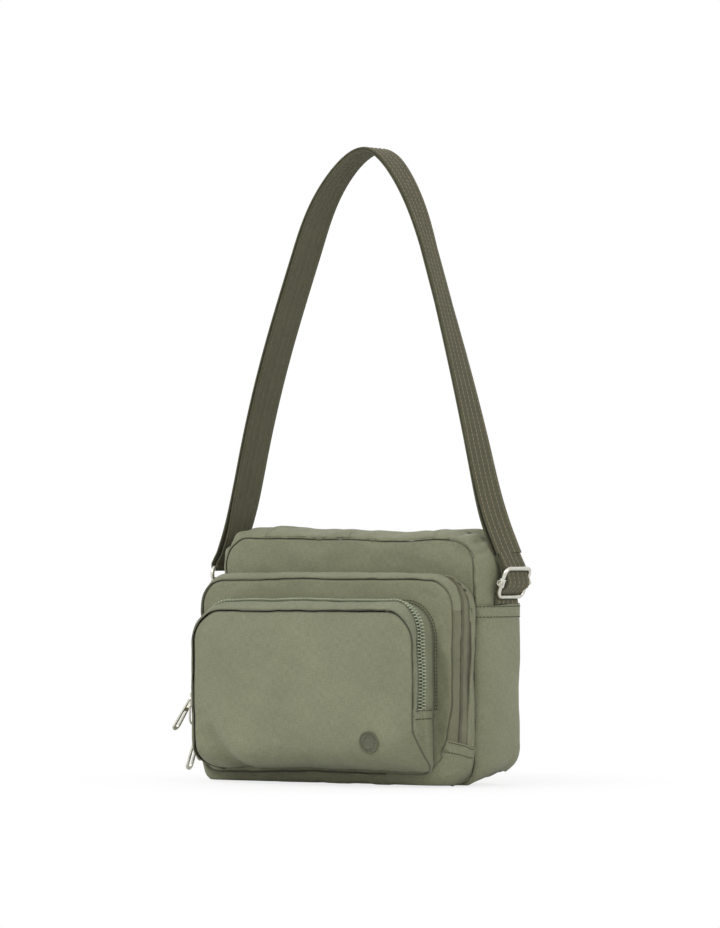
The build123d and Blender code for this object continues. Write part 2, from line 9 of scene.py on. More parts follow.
import bpy
import numpy as np
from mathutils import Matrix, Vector

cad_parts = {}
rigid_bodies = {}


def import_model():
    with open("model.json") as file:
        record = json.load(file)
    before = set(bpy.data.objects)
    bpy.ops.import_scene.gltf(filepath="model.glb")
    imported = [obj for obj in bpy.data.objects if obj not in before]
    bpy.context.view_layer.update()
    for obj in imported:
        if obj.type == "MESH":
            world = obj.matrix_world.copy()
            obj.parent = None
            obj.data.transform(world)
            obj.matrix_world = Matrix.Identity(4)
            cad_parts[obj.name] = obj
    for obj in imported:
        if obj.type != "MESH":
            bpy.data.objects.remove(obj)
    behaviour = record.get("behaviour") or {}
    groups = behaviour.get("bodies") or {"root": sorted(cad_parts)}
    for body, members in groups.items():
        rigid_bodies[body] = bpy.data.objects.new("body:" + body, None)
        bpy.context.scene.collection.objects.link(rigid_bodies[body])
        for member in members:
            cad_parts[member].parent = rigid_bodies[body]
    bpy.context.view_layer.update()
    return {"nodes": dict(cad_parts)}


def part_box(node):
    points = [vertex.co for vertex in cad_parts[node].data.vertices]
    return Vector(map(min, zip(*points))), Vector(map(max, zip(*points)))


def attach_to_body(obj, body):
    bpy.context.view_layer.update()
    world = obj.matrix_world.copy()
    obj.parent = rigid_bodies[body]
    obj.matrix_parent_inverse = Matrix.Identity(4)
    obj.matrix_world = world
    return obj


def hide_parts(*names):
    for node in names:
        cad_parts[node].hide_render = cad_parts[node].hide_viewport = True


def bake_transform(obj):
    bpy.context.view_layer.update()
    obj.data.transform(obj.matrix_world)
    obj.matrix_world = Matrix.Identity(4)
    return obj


for leftover in list(bpy.data.objects):
    bpy.data.objects.remove(leftover)
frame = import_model()
MM = 0.001


def box_mm(node):
    """Low and high corners of a node's box in millimetres."""
    low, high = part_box(node)
    return np.array(low) / MM, np.array(high) / MM


# ------------------------------------------------------------------ sizes from the frame
main_low, main_high = box_mm("main_front_panel")
mouth_high = box_mm("main_mouth_front")[1]
middle_low, middle_high = box_mm("middle_front_panel")
pocket_low, pocket_high = box_mm("pocket_panel_upper")

MAIN_WIDTH = main_high[0] - main_low[0]
MAIN_TOP = main_high[2]
MAIN_FRONT = main_low[1]
MAIN_BACK = box_mm("main_back_panel")[1][1]
MAIN_BULGE = box_mm("main_gusset")[1][0] - MAIN_WIDTH / 2
MAIN_CROWN = mouth_high[2] - MAIN_TOP
MAIN_CORNER, MAIN_BASE_CORNER = 24.0, 16.0
MOUTH_HALF = mouth_high[0] + 0.3
MIDDLE_WIDTH = middle_high[0] - middle_low[0]
MIDDLE_TOP = middle_high[2]
MIDDLE_FRONT = middle_low[1]
MIDDLE_CORNER, MIDDLE_BASE_CORNER = 26.0, 22.0
MIDDLE_CHAIN = (box_mm("middle_zip_chain_front")[0][1] + box_mm("middle_zip_chain_rear")[1][1]) / 2
MIDDLE_TAB = box_mm("middle_zip_tabs")[1][2]
POCKET_WIDTH = pocket_high[0] - pocket_low[0]
POCKET_TOP = pocket_high[2]
POCKET_FRONT = pocket_low[1]
POCKET_FOLD = pocket_low[2]
POCKET_CORNER = 30.0
POCKET_CHAIN = (box_mm("pocket_zip_chain_front")[0][1] + box_mm("pocket_zip_chain_rear")[1][1]) / 2
POCKET_TAB = box_mm("pocket_zip_tabs")[1][2]
CHANNEL = 6.3  # half width of the gap that a zip fills
SEAM_LINE = 1.0  # the seams lie this far inside the outlines
halves = {"front": -1, "rear": 1}
sides = {"left": -1, "right": 1}


# ------------------------------------------------------------------ smooth random fields
def waves(seed, shortest, longest, count=14):
    """Smooth random field of 3-D points, roughly from -1 to 1."""
    random = np.random.default_rng(seed)
    length = np.exp(random.uniform(np.log(shortest), np.log(longest), count))
    turn = random.normal(size=(count, 3))
    turn *= (2 * pi / length / np.linalg.norm(turn, axis=1))[:, None]
    phase = random.uniform(0, 2 * pi, count)
    size = np.sqrt(length / longest)
    size /= np.sqrt((size**2).sum() / 2) * 1.6

    def field(points):
        return (np.sin(points @ turn.T + phase) * size).sum(-1)

    return field


drift = [waves(seed, 45, 150) for seed in (11, 12, 13)]
shiver = [waves(seed, 12, 36) for seed in (14, 15, 16)]


def warp(points):
    """Wander that all the sewn pieces share, so that seams are never ruler-straight."""
    slow = np.stack([field(points) for field in drift], -1)
    quick = np.stack([field(points) for field in shiver], -1)
    return points + 0.6 * slow + 0.22 * quick


def crease(points, start, end, depth, width):
    """Height of one soft fold that fades toward both its ends; negative depth is a ridge."""
    start, end = np.array(start, float), np.array(end, float)
    run = end - start
    along = np.clip(((points - start) @ run) / (run @ run), 0, 1)
    distance = np.linalg.norm(points - (start + along[..., None] * run), axis=-1)
    return -depth * np.exp(-((distance / width) ** 2)) * np.sin(pi * np.clip(along, 0.04, 0.96)) ** 0.6


def moved(points, x=0.0, y=0.0, z=0.0):
    """Points shifted by amounts that may differ from one to the next."""
    return points + np.stack(np.broadcast_arrays(x, y, z, points[..., 0])[:3], -1)


def run_length(path):
    """Length along a path up to each of its points."""
    return np.append(0, np.cumsum(np.linalg.norm(np.diff(path, axis=0), axis=-1)))


def row_run(points):
    """Mean distance of each row of a grid from its first one."""
    return np.append(0, np.cumsum(np.linalg.norm(np.diff(points, axis=0), axis=-1).mean(1)))[:, None]


def unit(vectors):
    """Vectors of length one."""
    return vectors / np.maximum(np.linalg.norm(vectors, axis=-1), 1e-9)[..., None]


# ------------------------------------------------------------------ meshes
def finish_mesh(name, verts, faces, material, uvs=None, seam=None):
    """Mesh object from points in millimetres, with a UV per face corner and a seam value per point that sets
    how much painted shade the material lays on there.
    """
    mesh = bpy.data.meshes.new(name)
    mesh.from_pydata((np.asarray(verts) * MM).tolist(), [], faces)
    if uvs is not None:
        layer = mesh.uv_layers.new(name="weave")
        layer.data.foreach_set("uv", np.asarray(uvs, np.float32).ravel())
    if seam is not None:
        attribute = mesh.attributes.new("seam", "FLOAT", "POINT")
        attribute.data.foreach_set("value", np.asarray(seam, np.float32).ravel())
    mesh.polygons.foreach_set("use_smooth", [True] * len(mesh.polygons))
    mesh.materials.append(material)
    piece = bpy.data.objects.new(name, mesh)
    bpy.context.scene.collection.objects.link(piece)
    return piece


def attach(piece, nodes="", where="main_bag"):
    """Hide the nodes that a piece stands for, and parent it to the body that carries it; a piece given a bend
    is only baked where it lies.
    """
    if nodes:
        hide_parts(*nodes.split())
    if isinstance(where, str):
        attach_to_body(piece, where)
    else:
        still, moving, start, end = where
        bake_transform(piece)
        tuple(start)
        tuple(end)


def grid_normals(points, closed=False):
    """Unit normals of a (rows, columns, 3) grid: column direction crossed with row direction."""
    if closed:
        along = np.roll(points, -1, 1) - np.roll(points, 1, 1)
    else:
        along = np.gradient(points, axis=1)
    across = np.gradient(points, axis=0)
    return unit(np.cross(across, along))


def grid_uv(points, closed=False):
    """Lengths along the middle row and down the columns, in millimetres."""
    middle = points[len(points) // 2]
    along = run_length(np.vstack([middle, middle[:1]]) if closed else middle)
    return np.stack(np.broadcast_arrays(along[None, :], row_run(points)), -1)


def grid_piece(name, points, material, closed=False, keep=None, seam=None, uv=None, flip=False, thick=0.0):
    """Sheet through a grid of points; keep picks the quads that belong to it."""
    rows, cols = points.shape[:2]
    r = np.arange(rows - 1)[:, None]
    c = np.arange(cols if closed else cols - 1)[None, :]
    n = (c + 1) % cols
    here, after = r * cols, (r + 1) * cols
    quads = np.stack(np.broadcast_arrays(here + c, after + c, after + n, here + n), -1)
    uv = grid_uv(points, closed) if uv is None else uv
    corners = np.stack([uv[r, c], uv[r + 1, c], uv[r + 1, c + 1], uv[r, c + 1]], -2) * MM
    if keep is not None:
        quads, corners = quads[keep], corners[keep]
    quads, corners = quads.reshape(-1, 4), corners.reshape(-1, 4, 2)
    if flip:
        quads, corners = quads[:, ::-1], corners[:, ::-1]
    used, index = np.unique(quads, return_inverse=True)
    seam = None if seam is None else np.broadcast_to(seam, (rows, cols)).reshape(-1)[used]
    faces = index.reshape(-1, 4).tolist()
    piece = finish_mesh(name, points.reshape(-1, 3)[used], faces, material, corners, seam)
    if thick:
        cloth = piece.modifiers.new("thickness", "SOLIDIFY")
        cloth.thickness = thick * MM
        cloth.offset = -1
    return piece


def studs(name, origins, along, outward, across, template, faces, material):
    """Many copies of one small form, each set by its own three directions."""
    form = np.asarray(template, float)
    verts = (
        origins[:, None]
        + along[:, None] * form[None, :, 0:1]
        + across[:, None] * form[None, :, 1:2]
        + outward[:, None] * form[None, :, 2:3]
    ).reshape(-1, 3)
    offsets = np.arange(len(origins)) * len(form)
    return finish_mesh(name, verts, [[i + k for i in face] for k in offsets for face in faces], material)


def resample(path, step, start, *others):
    """Points every step along a path, with other values carried at the same places."""
    length = run_length(path)
    at = np.arange(start, length[-1], step)
    return [np.stack([np.interp(at, length, column) for column in values.T], -1)
            for values in (path, *others)]


def lathe_form(stations, sides_count, squash):
    """Small closed form: rings of given (place along axis, radius), capped by points."""
    verts, faces = [], []
    for place, radius in stations:
        for k in range(sides_count):
            angle = 2 * pi * (k + 0.5) / sides_count
            verts.append((place, radius * cos(angle), radius * sin(angle) * squash))
    for ring in range(len(stations) - 1):
        for k in range(sides_count):
            a, b = ring * sides_count + k, ring * sides_count + (k + 1) % sides_count
            faces.append((a, b, b + sides_count, a + sides_count))
    faces.append(tuple(range(sides_count))[::-1])
    faces.append(tuple(range((len(stations) - 1) * sides_count, len(stations) * sides_count)))
    return verts, faces


STITCH, STITCH_FACES = lathe_form([(-1.25, 0.1), (-0.95, 0.3), (0, 0.36), (0.95, 0.3), (1.25, 0.1)], 6, 0.7)


def stitch_row(name, path, outward, material, pitch=3.2, size=1.0, raise_by=0.12):
    """Row of raised stitches along a path that lies on cloth."""
    spots, ups = resample(path, pitch, pitch / 2, outward)
    along = unit(np.gradient(spots, axis=0))
    ups = unit(ups - (ups * along).sum(-1)[:, None] * along)
    form = [(x * pitch / 3.2, y * size, z * size) for x, y, z in STITCH]
    return studs(name, spots + ups * raise_by, along, ups, np.cross(ups, along), form, STITCH_FACES, material)


# ------------------------------------------------------------------ outlines
def outline(width, top, top_radius, bottom, bottom_radius):
    """Rectangle with round corners, set about X = 0."""
    return np.array([width, top, top_radius, bottom, bottom_radius], float)


def half_ring(shape, top_break=None, counts=(44, 16, 84, 30, 50)):
    """Right half of an outline, from the middle of its base up to the middle of its top."""
    width, top, high, bottom, low = shape
    half = width / 2

    def line(a, b, n):
        return np.linspace(a, b, n, endpoint=False)

    def arc(x, z, radius, first, n):
        angle = radians(first) + np.linspace(0, pi / 2, n, endpoint=False)
        return np.stack([x + radius * np.cos(angle), z + radius * np.sin(angle)], -1)

    pieces = [
        line((0, bottom), (half - low, bottom), counts[0]),
        arc(half - low, bottom + low, low, -90, counts[1]),
        line((half, bottom + low), (half, top - high), counts[2]),
        arc(half - high, top - high, high, 0, counts[3]),
    ]
    if top_break is None:
        pieces.append(line((half - high, top), (0, top), counts[4]))
    else:
        pieces.append(line((half - high, top), (top_break, top), 8))
        pieces.append(line((top_break, top), (0, top), counts[4] - 8))
    pieces.append(np.array([[0, top]]))
    return np.concatenate(pieces)


def ring_of(shape, top_break=None):
    """Whole outline, anticlockwise seen from the front."""
    right = half_ring(shape, top_break)
    left = right[::-1][1:-1] * (-1, 1)
    return np.concatenate([right, left])


def ring_outward(ring):
    """Outward directions at the points of a closed outline."""
    run = np.roll(ring, -1, 0) - np.roll(ring, 1, 0)
    return unit(np.stack([run[:, 1], -run[:, 0]], -1))


def ring_grid(stations, top_break=None):
    """Grid through stations (y, outline, how far outside the outline)."""
    rows = []
    for y, shape, out in stations:
        ring = ring_of(shape, top_break)
        ring = ring + ring_outward(ring) * out
        rows.append(np.stack([ring[:, 0], np.full(len(ring), y), ring[:, 1]], -1))
    return np.array(rows)


def swell(y, front, back, power=2.0, sharp=0.6):
    """How much a gusset has swollen at y, from 0 at its seams to 1 in the middle."""
    t = (y - (front + back) / 2) / ((back - front) / 2)
    return np.clip(1 - abs(t) ** power, 0, 1) ** sharp


def inside_distance(x, z, shape):
    """Distance from a point inside an outline to its edge."""
    width, top, high, bottom, low = shape
    radius = np.where(z > (top + bottom) / 2, high, low)
    qx = abs(x) - (width / 2 - radius)
    qz = abs(z - (top + bottom) / 2) - ((top - bottom) / 2 - radius)
    outside = np.hypot(np.maximum(qx, 0), np.maximum(qz, 0))
    return radius - outside - np.minimum(np.maximum(qx, qz), 0)


EDGE_STEPS = np.array([0, 0.12, 0.35, 0.7, 1.15, 1.7, 2.4, 3.3, 4.6, 6.4, 8.8, 11.6, 14.6, 17.8, 21.0])


def half_width(shape, z):
    """Half width of an outline at a height."""
    width, top, high, bottom, low = shape
    half = width / 2
    if z > top - high:
        half += sqrt(max(high**2 - (z - top + high) ** 2, 0)) - high
    if z < bottom + low:
        half += sqrt(max(low**2 - (bottom + low - z) ** 2, 0)) - low
    return half


def panel_plan(shape, inset=1.0, spacing=3.2):
    """Grid of (x, z) that fills an outline, with close rows and columns along its edge."""
    shape = shape - (2 * inset, inset, inset, -inset, inset)
    width, top, _, bottom, _ = shape
    inner = np.linspace(bottom + 21, top - 21, int((top - bottom - 42) / spacing) + 2)[1:-1]
    levels = np.concatenate([bottom + EDGE_STEPS, inner, (top - EDGE_STEPS)[::-1]])
    rows = []
    for z in levels:
        half = half_width(shape, z)
        flat = np.linspace(-1, 1, int((width - 42) / spacing))[1:-1] * (half - 21)
        rows.append(np.concatenate([-half + EDGE_STEPS, flat, (half - EDGE_STEPS)[::-1]]))
    x = np.array(rows)
    return x, np.broadcast_to(levels[:, None], x.shape)


def rolled(distance, height, radius):
    """How far a panel's turned edge drops back from its face."""
    share = np.clip(1 - distance / radius, 0, 1)
    return height * (1 - np.sqrt(1 - share**2))


# ------------------------------------------------------------------ materials
def linear(red, green, blue):
    """Linear colour from an sRGB one on 0 to 255."""
    shares = np.array([red, green, blue]) / 255
    return (*np.where(shares <= 0.04045, shares / 12.92, ((shares + 0.055) / 1.055) ** 2.4), 1.0)


class Shade:
    """Node material under construction."""

    def __init__(self, name, roughness, **fixed):
        self.material = bpy.data.materials.new(name)
        self.material.use_nodes = True
        self.tree = self.material.node_tree
        self.shader = self.tree.nodes["Principled BSDF"]
        self.shader.inputs["Roughness"].default_value = roughness
        for socket, value in fixed.items():
            self.shader.inputs[socket.replace("_", " ")].default_value = value

    def put(self, socket, value):
        if isinstance(value, bpy.types.NodeSocket):
            self.tree.links.new(value, socket)
        else:
            socket.default_value = value

    def add(self, kind, inputs=(), **settings):
        node = self.tree.nodes.new(kind)
        for name, value in settings.items():
            setattr(node, name, value)
        for key, value in dict(inputs).items():
            self.put(node.inputs[key], value)
        return node

    def math(self, operation, first, second=0.0):
        return self.add("ShaderNodeMath", {0: first, 1: second}, operation=operation).outputs[0]

    def place(self, on_cloth=True, stretch=(1, 1, 1)):
        """Coordinates in metres: along and across the cloth, or in the object."""
        if on_cloth:
            spot = self.add("ShaderNodeUVMap", uv_map="weave").outputs[0]
        else:
            spot = self.add("ShaderNodeTexCoord").outputs["Object"]
        return self.add("ShaderNodeVectorMath", {0: spot, 1: stretch}, operation="MULTIPLY").outputs[0]

    def noise(self, place, scale, detail=3.0, rough=0.55):
        settings = {"Vector": place, "Scale": scale, "Detail": detail, "Roughness": rough}
        return self.add("ShaderNodeTexNoise", settings).outputs["Fac"]

    def span(self, value, low, high, to_low=0.0, to_high=1.0):
        settings = {"Value": value, "From Min": low, "From Max": high, "To Min": to_low, "To Max": to_high}
        return self.add("ShaderNodeMapRange", settings).outputs[0]

    def blend(self, share, first, second, mode="MIX"):
        node = self.add("ShaderNodeMix", data_type="RGBA", blend_type=mode)
        for key, value in ((0, share), (6, first), (7, second)):
            self.put(node.inputs[key], value)
        return node.outputs[2]

    def sine(self, value, pitch):
        return self.math("SINE", self.math("MULTIPLY", value, 2 * pi / pitch))

    def bump(self, height, distance, strength=1.0, under=None):
        settings = {"Height": height, "Distance": distance, "Strength": strength}
        if under is not None:
            settings["Normal"] = under
        return self.add("ShaderNodeBump", settings).outputs[0]

    def use(self, **sockets):
        for name, value in sockets.items():
            self.put(self.shader.inputs[name.replace("_", " ")], value)
        return self.material


def cloth_material(name, base, dark, pitch=0.0006, grain=0.14, relief=0.00008, roughness=0.74, mottle=0.10):
    """Closely woven twill: diagonal ribs, uneven threads, slow colour drift, shade in the seams."""
    s = Shade(name, roughness, Sheen_Weight=0.12, Sheen_Roughness=0.45)
    s.shader.inputs["Specular IOR Level"].default_value = 0.32
    spot = s.place()
    split = s.add("ShaderNodeSeparateXYZ", {0: spot})
    along, across = split.outputs[0], split.outputs[1]
    rib = s.sine(s.math("ADD", along, across), pitch)
    threads = s.math("MULTIPLY", s.sine(along, pitch), s.sine(across, pitch))
    weave = s.math("ADD", s.math("MULTIPLY", rib, 0.6), s.math("MULTIPLY", threads, 0.4))
    warp_threads = s.noise(s.place(stretch=(1, 0.12, 1)), 1500, 2.0)
    weft_threads = s.noise(s.place(stretch=(0.12, 1, 1)), 1500, 2.0)
    uneven = s.math("ADD", warp_threads, weft_threads)
    drift_far = s.noise(spot, 14, 2.0)
    drift_near = s.noise(spot, 60, 3.0)
    tone = s.blend(s.span(drift_far, 0.32, 0.68, 0.0, 1.0), linear(*[c * (1 - mottle / 3) for c in base]),
                   linear(*[min(c * (1 + mottle / 3), 255) for c in base]))
    fleck = s.span(uneven, 0.75, 1.25, 1 - grain, 1 + grain)
    fleck = s.math("ADD", fleck, s.math("MULTIPLY", weave, grain * 0.35))
    lit = s.add("ShaderNodeVectorMath", {0: tone, "Scale": fleck}, operation="SCALE").outputs[0]
    # painted shade: where the seam value is high the colour is darkened toward dark
    seam = s.add("ShaderNodeAttribute", attribute_name="seam").outputs["Fac"]
    colour = s.blend(s.math("MINIMUM", seam, 1.0), lit, linear(*dark))
    soft = s.bump(drift_near, 0.0012, 0.5)
    fuzz = s.bump(uneven, 0.00012, 0.7, soft)
    normal = s.bump(weave, relief, 0.8, fuzz)
    rough = s.span(drift_near, 0.3, 0.7, roughness - 0.05, roughness + 0.05)
    return s.use(Base_Color=colour, Roughness=rough, Normal=normal)


def ribbed_material(name, base, dark, light, pitch, relief, roughness=0.8):
    """Woven tape: ribs across its length, a herringbone of threads and a paler fleck."""
    s = Shade(name, roughness, Sheen_Weight=0.1)
    s.shader.inputs["Specular IOR Level"].default_value = 0.3
    split = s.add("ShaderNodeSeparateXYZ", {0: s.place()})
    along, across = split.outputs[0], split.outputs[1]
    herringbone = s.math("FRACT", s.math("MULTIPLY", across, 1 / (pitch * 7)))
    zigzag = s.math("ABSOLUTE", s.math("SUBTRACT", herringbone, 0.5))
    rib = s.sine(s.math("ADD", along, s.math("MULTIPLY", zigzag, pitch * 5)), pitch)
    fine = s.sine(across, pitch * 0.55)
    weave = s.math("ADD", s.math("MULTIPLY", rib, 0.65), s.math("MULTIPLY", fine, 0.35))
    uneven = s.noise(s.place(stretch=(0.2, 1, 1)), 1100, 2.0)
    wander = s.noise(s.place(), 40, 3.0)
    tone = s.blend(s.span(wander, 0.3, 0.7), linear(*base), linear(*[c * 0.9 for c in base]))
    fleck = s.span(s.math("ADD", uneven, s.math("MULTIPLY", weave, 0.12)), 0.5, 0.78)
    tone = s.blend(fleck, tone, linear(*light))
    # painted shade: where the seam value is high the tape's colour is darkened toward dark
    seam = s.add("ShaderNodeAttribute", attribute_name="seam").outputs["Fac"]
    colour = s.blend(s.math("MINIMUM", seam, 1.0), tone, linear(*dark))
    normal = s.bump(weave, relief, 0.9, s.bump(uneven, relief * 0.8, 0.6))
    return s.use(Base_Color=colour, Normal=normal)


def plain_material(name, base, roughness, grain=0.05, scale=900, relief=0.00004, **fixed):
    """Moulded or metal surface with slight unevenness in colour, polish and relief."""
    s = Shade(name, roughness, **fixed)
    spot = s.place(on_cloth=False)
    slow = s.noise(spot, scale * 0.12, 3.0)
    fine = s.noise(spot, scale, 2.0)
    colour = s.blend(s.span(slow, 0.3, 0.7), linear(*[c * (1 - grain) for c in base]), linear(*base))
    rough = s.span(fine, 0.3, 0.7, roughness * 0.85, roughness * 1.15)
    return s.use(Base_Color=colour, Roughness=rough, Normal=s.bump(fine, relief, 0.6))


# colour toward which the cloth's painted seam shade darkens it
SEAM_SHADE = (58, 58, 44)
CLOTH = cloth_material("nylon cloth", (133, 135, 109), SEAM_SHADE)
TAPE_GREEN = ribbed_material(
    "zip tape, green", (136, 139, 113), (70, 71, 55), (152, 155, 128), pitch=0.0009, relief=0.00012)
TAPE_BROWN = ribbed_material(
    "zip tape, brown", (122, 122, 98), (70, 68, 52), (134, 132, 106), pitch=0.0008, relief=0.0001)
WEBBING = ribbed_material(
    "strap webbing", (87, 86, 63), (50, 49, 36), (108, 105, 79), pitch=0.0015, relief=0.0003)
SEAM_THREAD = plain_material("dark body thread", (76, 75, 55), 0.65)
STRAP_THREAD = plain_material("strap thread", (148, 133, 103), 0.6)
INNER_THREAD = plain_material("strap thread, inner face", (106, 101, 76), 0.65)
TEETH = plain_material("moulded teeth", (184, 192, 166), 0.3, grain=0.12, scale=500)
COIL = plain_material("zip coil", (110, 107, 84), 0.5, grain=0.15, scale=700)
METAL = plain_material("satin nickel", (222, 220, 208), 0.26, grain=0.08, scale=1600, Metallic=1.0)
RUBBER = plain_material("badge rubber", (98, 99, 77), 0.42, grain=0.08)

# ------------------------------------------------------------------ main compartment
main_seam = outline(MAIN_WIDTH, MAIN_TOP, MAIN_CORNER, 0, MAIN_BASE_CORNER)
main_full = main_seam + (2 * MAIN_BULGE, MAIN_CROWN, MAIN_BULGE, 0, MAIN_BULGE / 2)
RUN_END = MOUTH_HALF + 14.6  # the zip goes on this far past the mouth
puckers = waves(21, 8, 26)
gathers = waves(24, 6, 17)
slack = waves(22, 30, 95)
fine_slack = waves(23, 14, 40)


def top_sag(points):
    """The crown of the main compartment stands higher over its left end."""
    lift = np.interp(points[..., 0], [-126, -100, -70, -30, 10, 42, 66, 86, 100, 112, 126],
                     [0, 1.4, 0.5, -1.2, -2.0, -2.8, -1.6, -0.3, -0.8, -2.2, -1.5])
    share = np.clip((points[..., 2] - 180) / 26, 0, 1)
    return moved(points, z=lift * share**1.5)


FLOOR_GAP = 0.7  # the cloth's thickness and stitches need this much room under them


def settle(points):
    """Nothing sinks into the floor."""
    return np.maximum(points, (-np.inf, -np.inf, FLOOR_GAP))


def round_off(points):
    """The right base corner of the main compartment lifts and rounds toward the back."""
    x, y, z = np.moveaxis(points, -1, 0)
    share = np.clip((x - 64) / 46, 0, 1) ** 2 * np.exp(-((z / 24) ** 2)) * np.clip((y + 30) / 38, 0, 1)
    return moved(points, x=-2.5 * share, z=9.5 * share)


def row_depth(points):
    """Distance of each row from the nearer of the grid's first and last rows."""
    down = row_run(points)
    return np.minimum(down, down[-1] - down)


def seam_gathers(points, reach=9.0):
    """Short wrinkles that run back from both seams of a gusset."""
    down = row_run(points)
    height = 0
    for seam, depth in ((points[:1], down), (points[-1:], down[-1] - down)):
        height = height + gathers(seam) * np.exp(-depth / reach) * (1 - np.exp(-depth / 2))
    return height


def seam_shade(depth, reach=0.8, strength=0.7):
    """Painted shade: a dark line where a seam's groove lies in shade, with a faint wide painted shade beside
    it.
    """
    return strength * np.exp(-((depth / reach) ** 2)) + 0.06 * np.exp(-abs(depth) / 6)


def corner_fold(side, angle, y_from, y_to, depth, width):
    """Fold that runs back over a top corner of the main gusset."""
    turn = radians(angle)
    reach = MAIN_CORNER + MAIN_BULGE * 0.6
    x = side * (MAIN_WIDTH / 2 - MAIN_CORNER + reach * cos(turn))
    z = MAIN_TOP - MAIN_CORNER + reach * sin(turn)
    return (x, y_from, z), (x, y_to, z + 1.5), depth, width


main_folds = [
    corner_fold(-1, 72, -32, -15, 2.6, 3.0),
    corner_fold(-1, 57, -31, -12, -1.8, 3.4),
    corner_fold(-1, 40, -32, -14, 3.2, 3.2),
    corner_fold(-1, 25, -31, -12, -1.6, 3.2),
    corner_fold(-1, 10, -32, -16, 2.4, 3.0),
    corner_fold(1, 80, -30, -4, 2.0, 4.4),
    corner_fold(1, 62, -31, -8, -1.8, 4.0),
    corner_fold(1, 46, -32, -9, 2.8, 3.4),
    corner_fold(1, 26, -31, -14, 2.0, 3.2),
    ((-60, -28, MAIN_TOP + 5), (-18, -14, MAIN_TOP + 8), 0.8, 5.0),
    ((20, -29, MAIN_TOP + 4), (70, -16, MAIN_TOP + 8), 0.8, 5.0),
    ((-96, -27, MAIN_TOP + 4), (-62, -10, MAIN_TOP + 9), 1.1, 4.5),
]


def gusset_stations(front, back, seam_front, full, seam_back, inner_rows):
    """Stations across a gusset, with its lips turned in at both seams."""
    def station(y, out=0.0):
        near = seam_front if y < (front + back) / 2 else seam_back
        return (y, near + (full - near) * swell(y, front + 0.6, back - 0.6, 2.3), out)

    lip = [(1.7, -2.5), (0.9, -1.6), (0.45, -0.8), (0.7, -0.2)]
    rows = [station(front + dy, out) for dy, out in lip]
    rows += [station(y) for y in inner_rows]
    rows += [station(back - dy, out) for dy, out in reversed(lip)]
    return rows


TROUGH = 7.5  # the zip lies this far below the crests on both sides of it


def trough(points):
    """The cloth dips toward the zip along the top."""
    x, y, z = np.moveaxis(points, -1, 0)
    along = np.clip((127 - abs(x)) / 14, 0, 1)
    top = np.clip((z - MAIN_TOP) / 4, 0, 1)
    return moved(points, z=-(TROUGH * np.exp(-((y / 8.5) ** 2)) * along * along * (3 - 2 * along) * top))


def dress_main(points):
    """Swells, folds and puckers of the main gusset."""
    normal = grid_normals(points, closed=True)
    depth = row_depth(points)
    height = 0.55 * slack(points) * (1 - np.exp(-depth / 9)) + 0.18 * fine_slack(points)
    near_seam = np.exp(-depth / 5) * (1 - np.exp(-depth / 1.0))
    height += 0.4 * puckers(points) * near_seam + 0.5 * seam_gathers(points)
    for fold in main_folds:
        height += crease(points, *fold)
    return settle(trough(top_sag(round_off(warp(points + normal * height[..., None])))))


front_rows = MAIN_FRONT + 1.1 + (abs(MAIN_FRONT) - 1.1 - CHANNEL) * (1 - np.cos(np.linspace(0, pi / 2, 19)))
inner = np.concatenate([front_rows, np.linspace(-CHANNEL, CHANNEL, 8)[1:-1], -front_rows[::-1]])
main_stations = gusset_stations(MAIN_FRONT, MAIN_BACK, main_seam, main_full, main_seam, inner)
main_points = ring_grid(main_stations, MOUTH_HALF)
main_dressed = dress_main(main_points)
row_y = main_points[:-1, 0, 1] + np.diff(main_points[:, 0, 1]) / 2
column = main_points[len(main_points) // 2]
next_column = np.roll(column, -1, 0)
on_top = np.minimum(column[:, 2], next_column[:, 2]) > MAIN_TOP - 2
column_reach = np.maximum(abs(column[:, 0]), abs(next_column[:, 0]))
column_side = column[:, 0] + next_column[:, 0]
in_mouth = on_top & (column_reach < MOUTH_HALF + 0.01)
in_run = on_top & (column_reach < RUN_END + 0.6)
in_channel = abs(row_y) < CHANNEL
static = ~(in_channel[:, None] & in_run[None, :]) & ~in_mouth[None, :]
main_shade = seam_shade(row_depth(main_points))
gusset = grid_piece("main_gusset_cloth", main_dressed, CLOTH, True, static, main_shade, thick=1.0)
attach(gusset, "main_gusset")

MOUTH_EASE = 36.0  # the bend line given for each side of the mouth runs this far in from its end


def mouth(half, side):
    """Bodies and bend line given for one side of the mouth, from its end to MOUTH_EASE inside it."""
    start = (side * MOUTH_HALF * MM, 0, MAIN_TOP * MM)
    end = (side * (MOUTH_HALF - MOUTH_EASE) * MM, 0, MAIN_TOP * MM)
    return "main_bag", f"mouth_{half}", start, end


for half, toward in halves.items():
    beside_channel = (row_y * toward > CHANNEL)[:, None]
    for side_name, side in sides.items():
        keep = beside_channel & (in_mouth & (column_side * side > 0))[None, :]
        strip = grid_piece(f"main_mouth_{half}_{side_name}", main_dressed, CLOTH, True, keep, main_shade,
                           thick=1.6)
        attach(strip, f"main_mouth_{half}", mouth(half, side))


def edge_gathers(points, shape):
    """Short wrinkles that run into a panel from its seam."""
    x, z = points[..., 0], points[..., 2]
    distance = inside_distance(x, z, shape)
    slope_x = (inside_distance(x + 0.05, z, shape) - distance) / 0.05
    slope_z = (inside_distance(x, z + 0.05, shape) - distance) / 0.05
    seam = np.stack([x - slope_x * distance, points[..., 1], z - slope_z * distance], -1)
    past = np.maximum(distance - SEAM_LINE, 0)
    return gathers(seam) * np.exp(-past / 10) * (1 - np.exp(-past / 2.5))


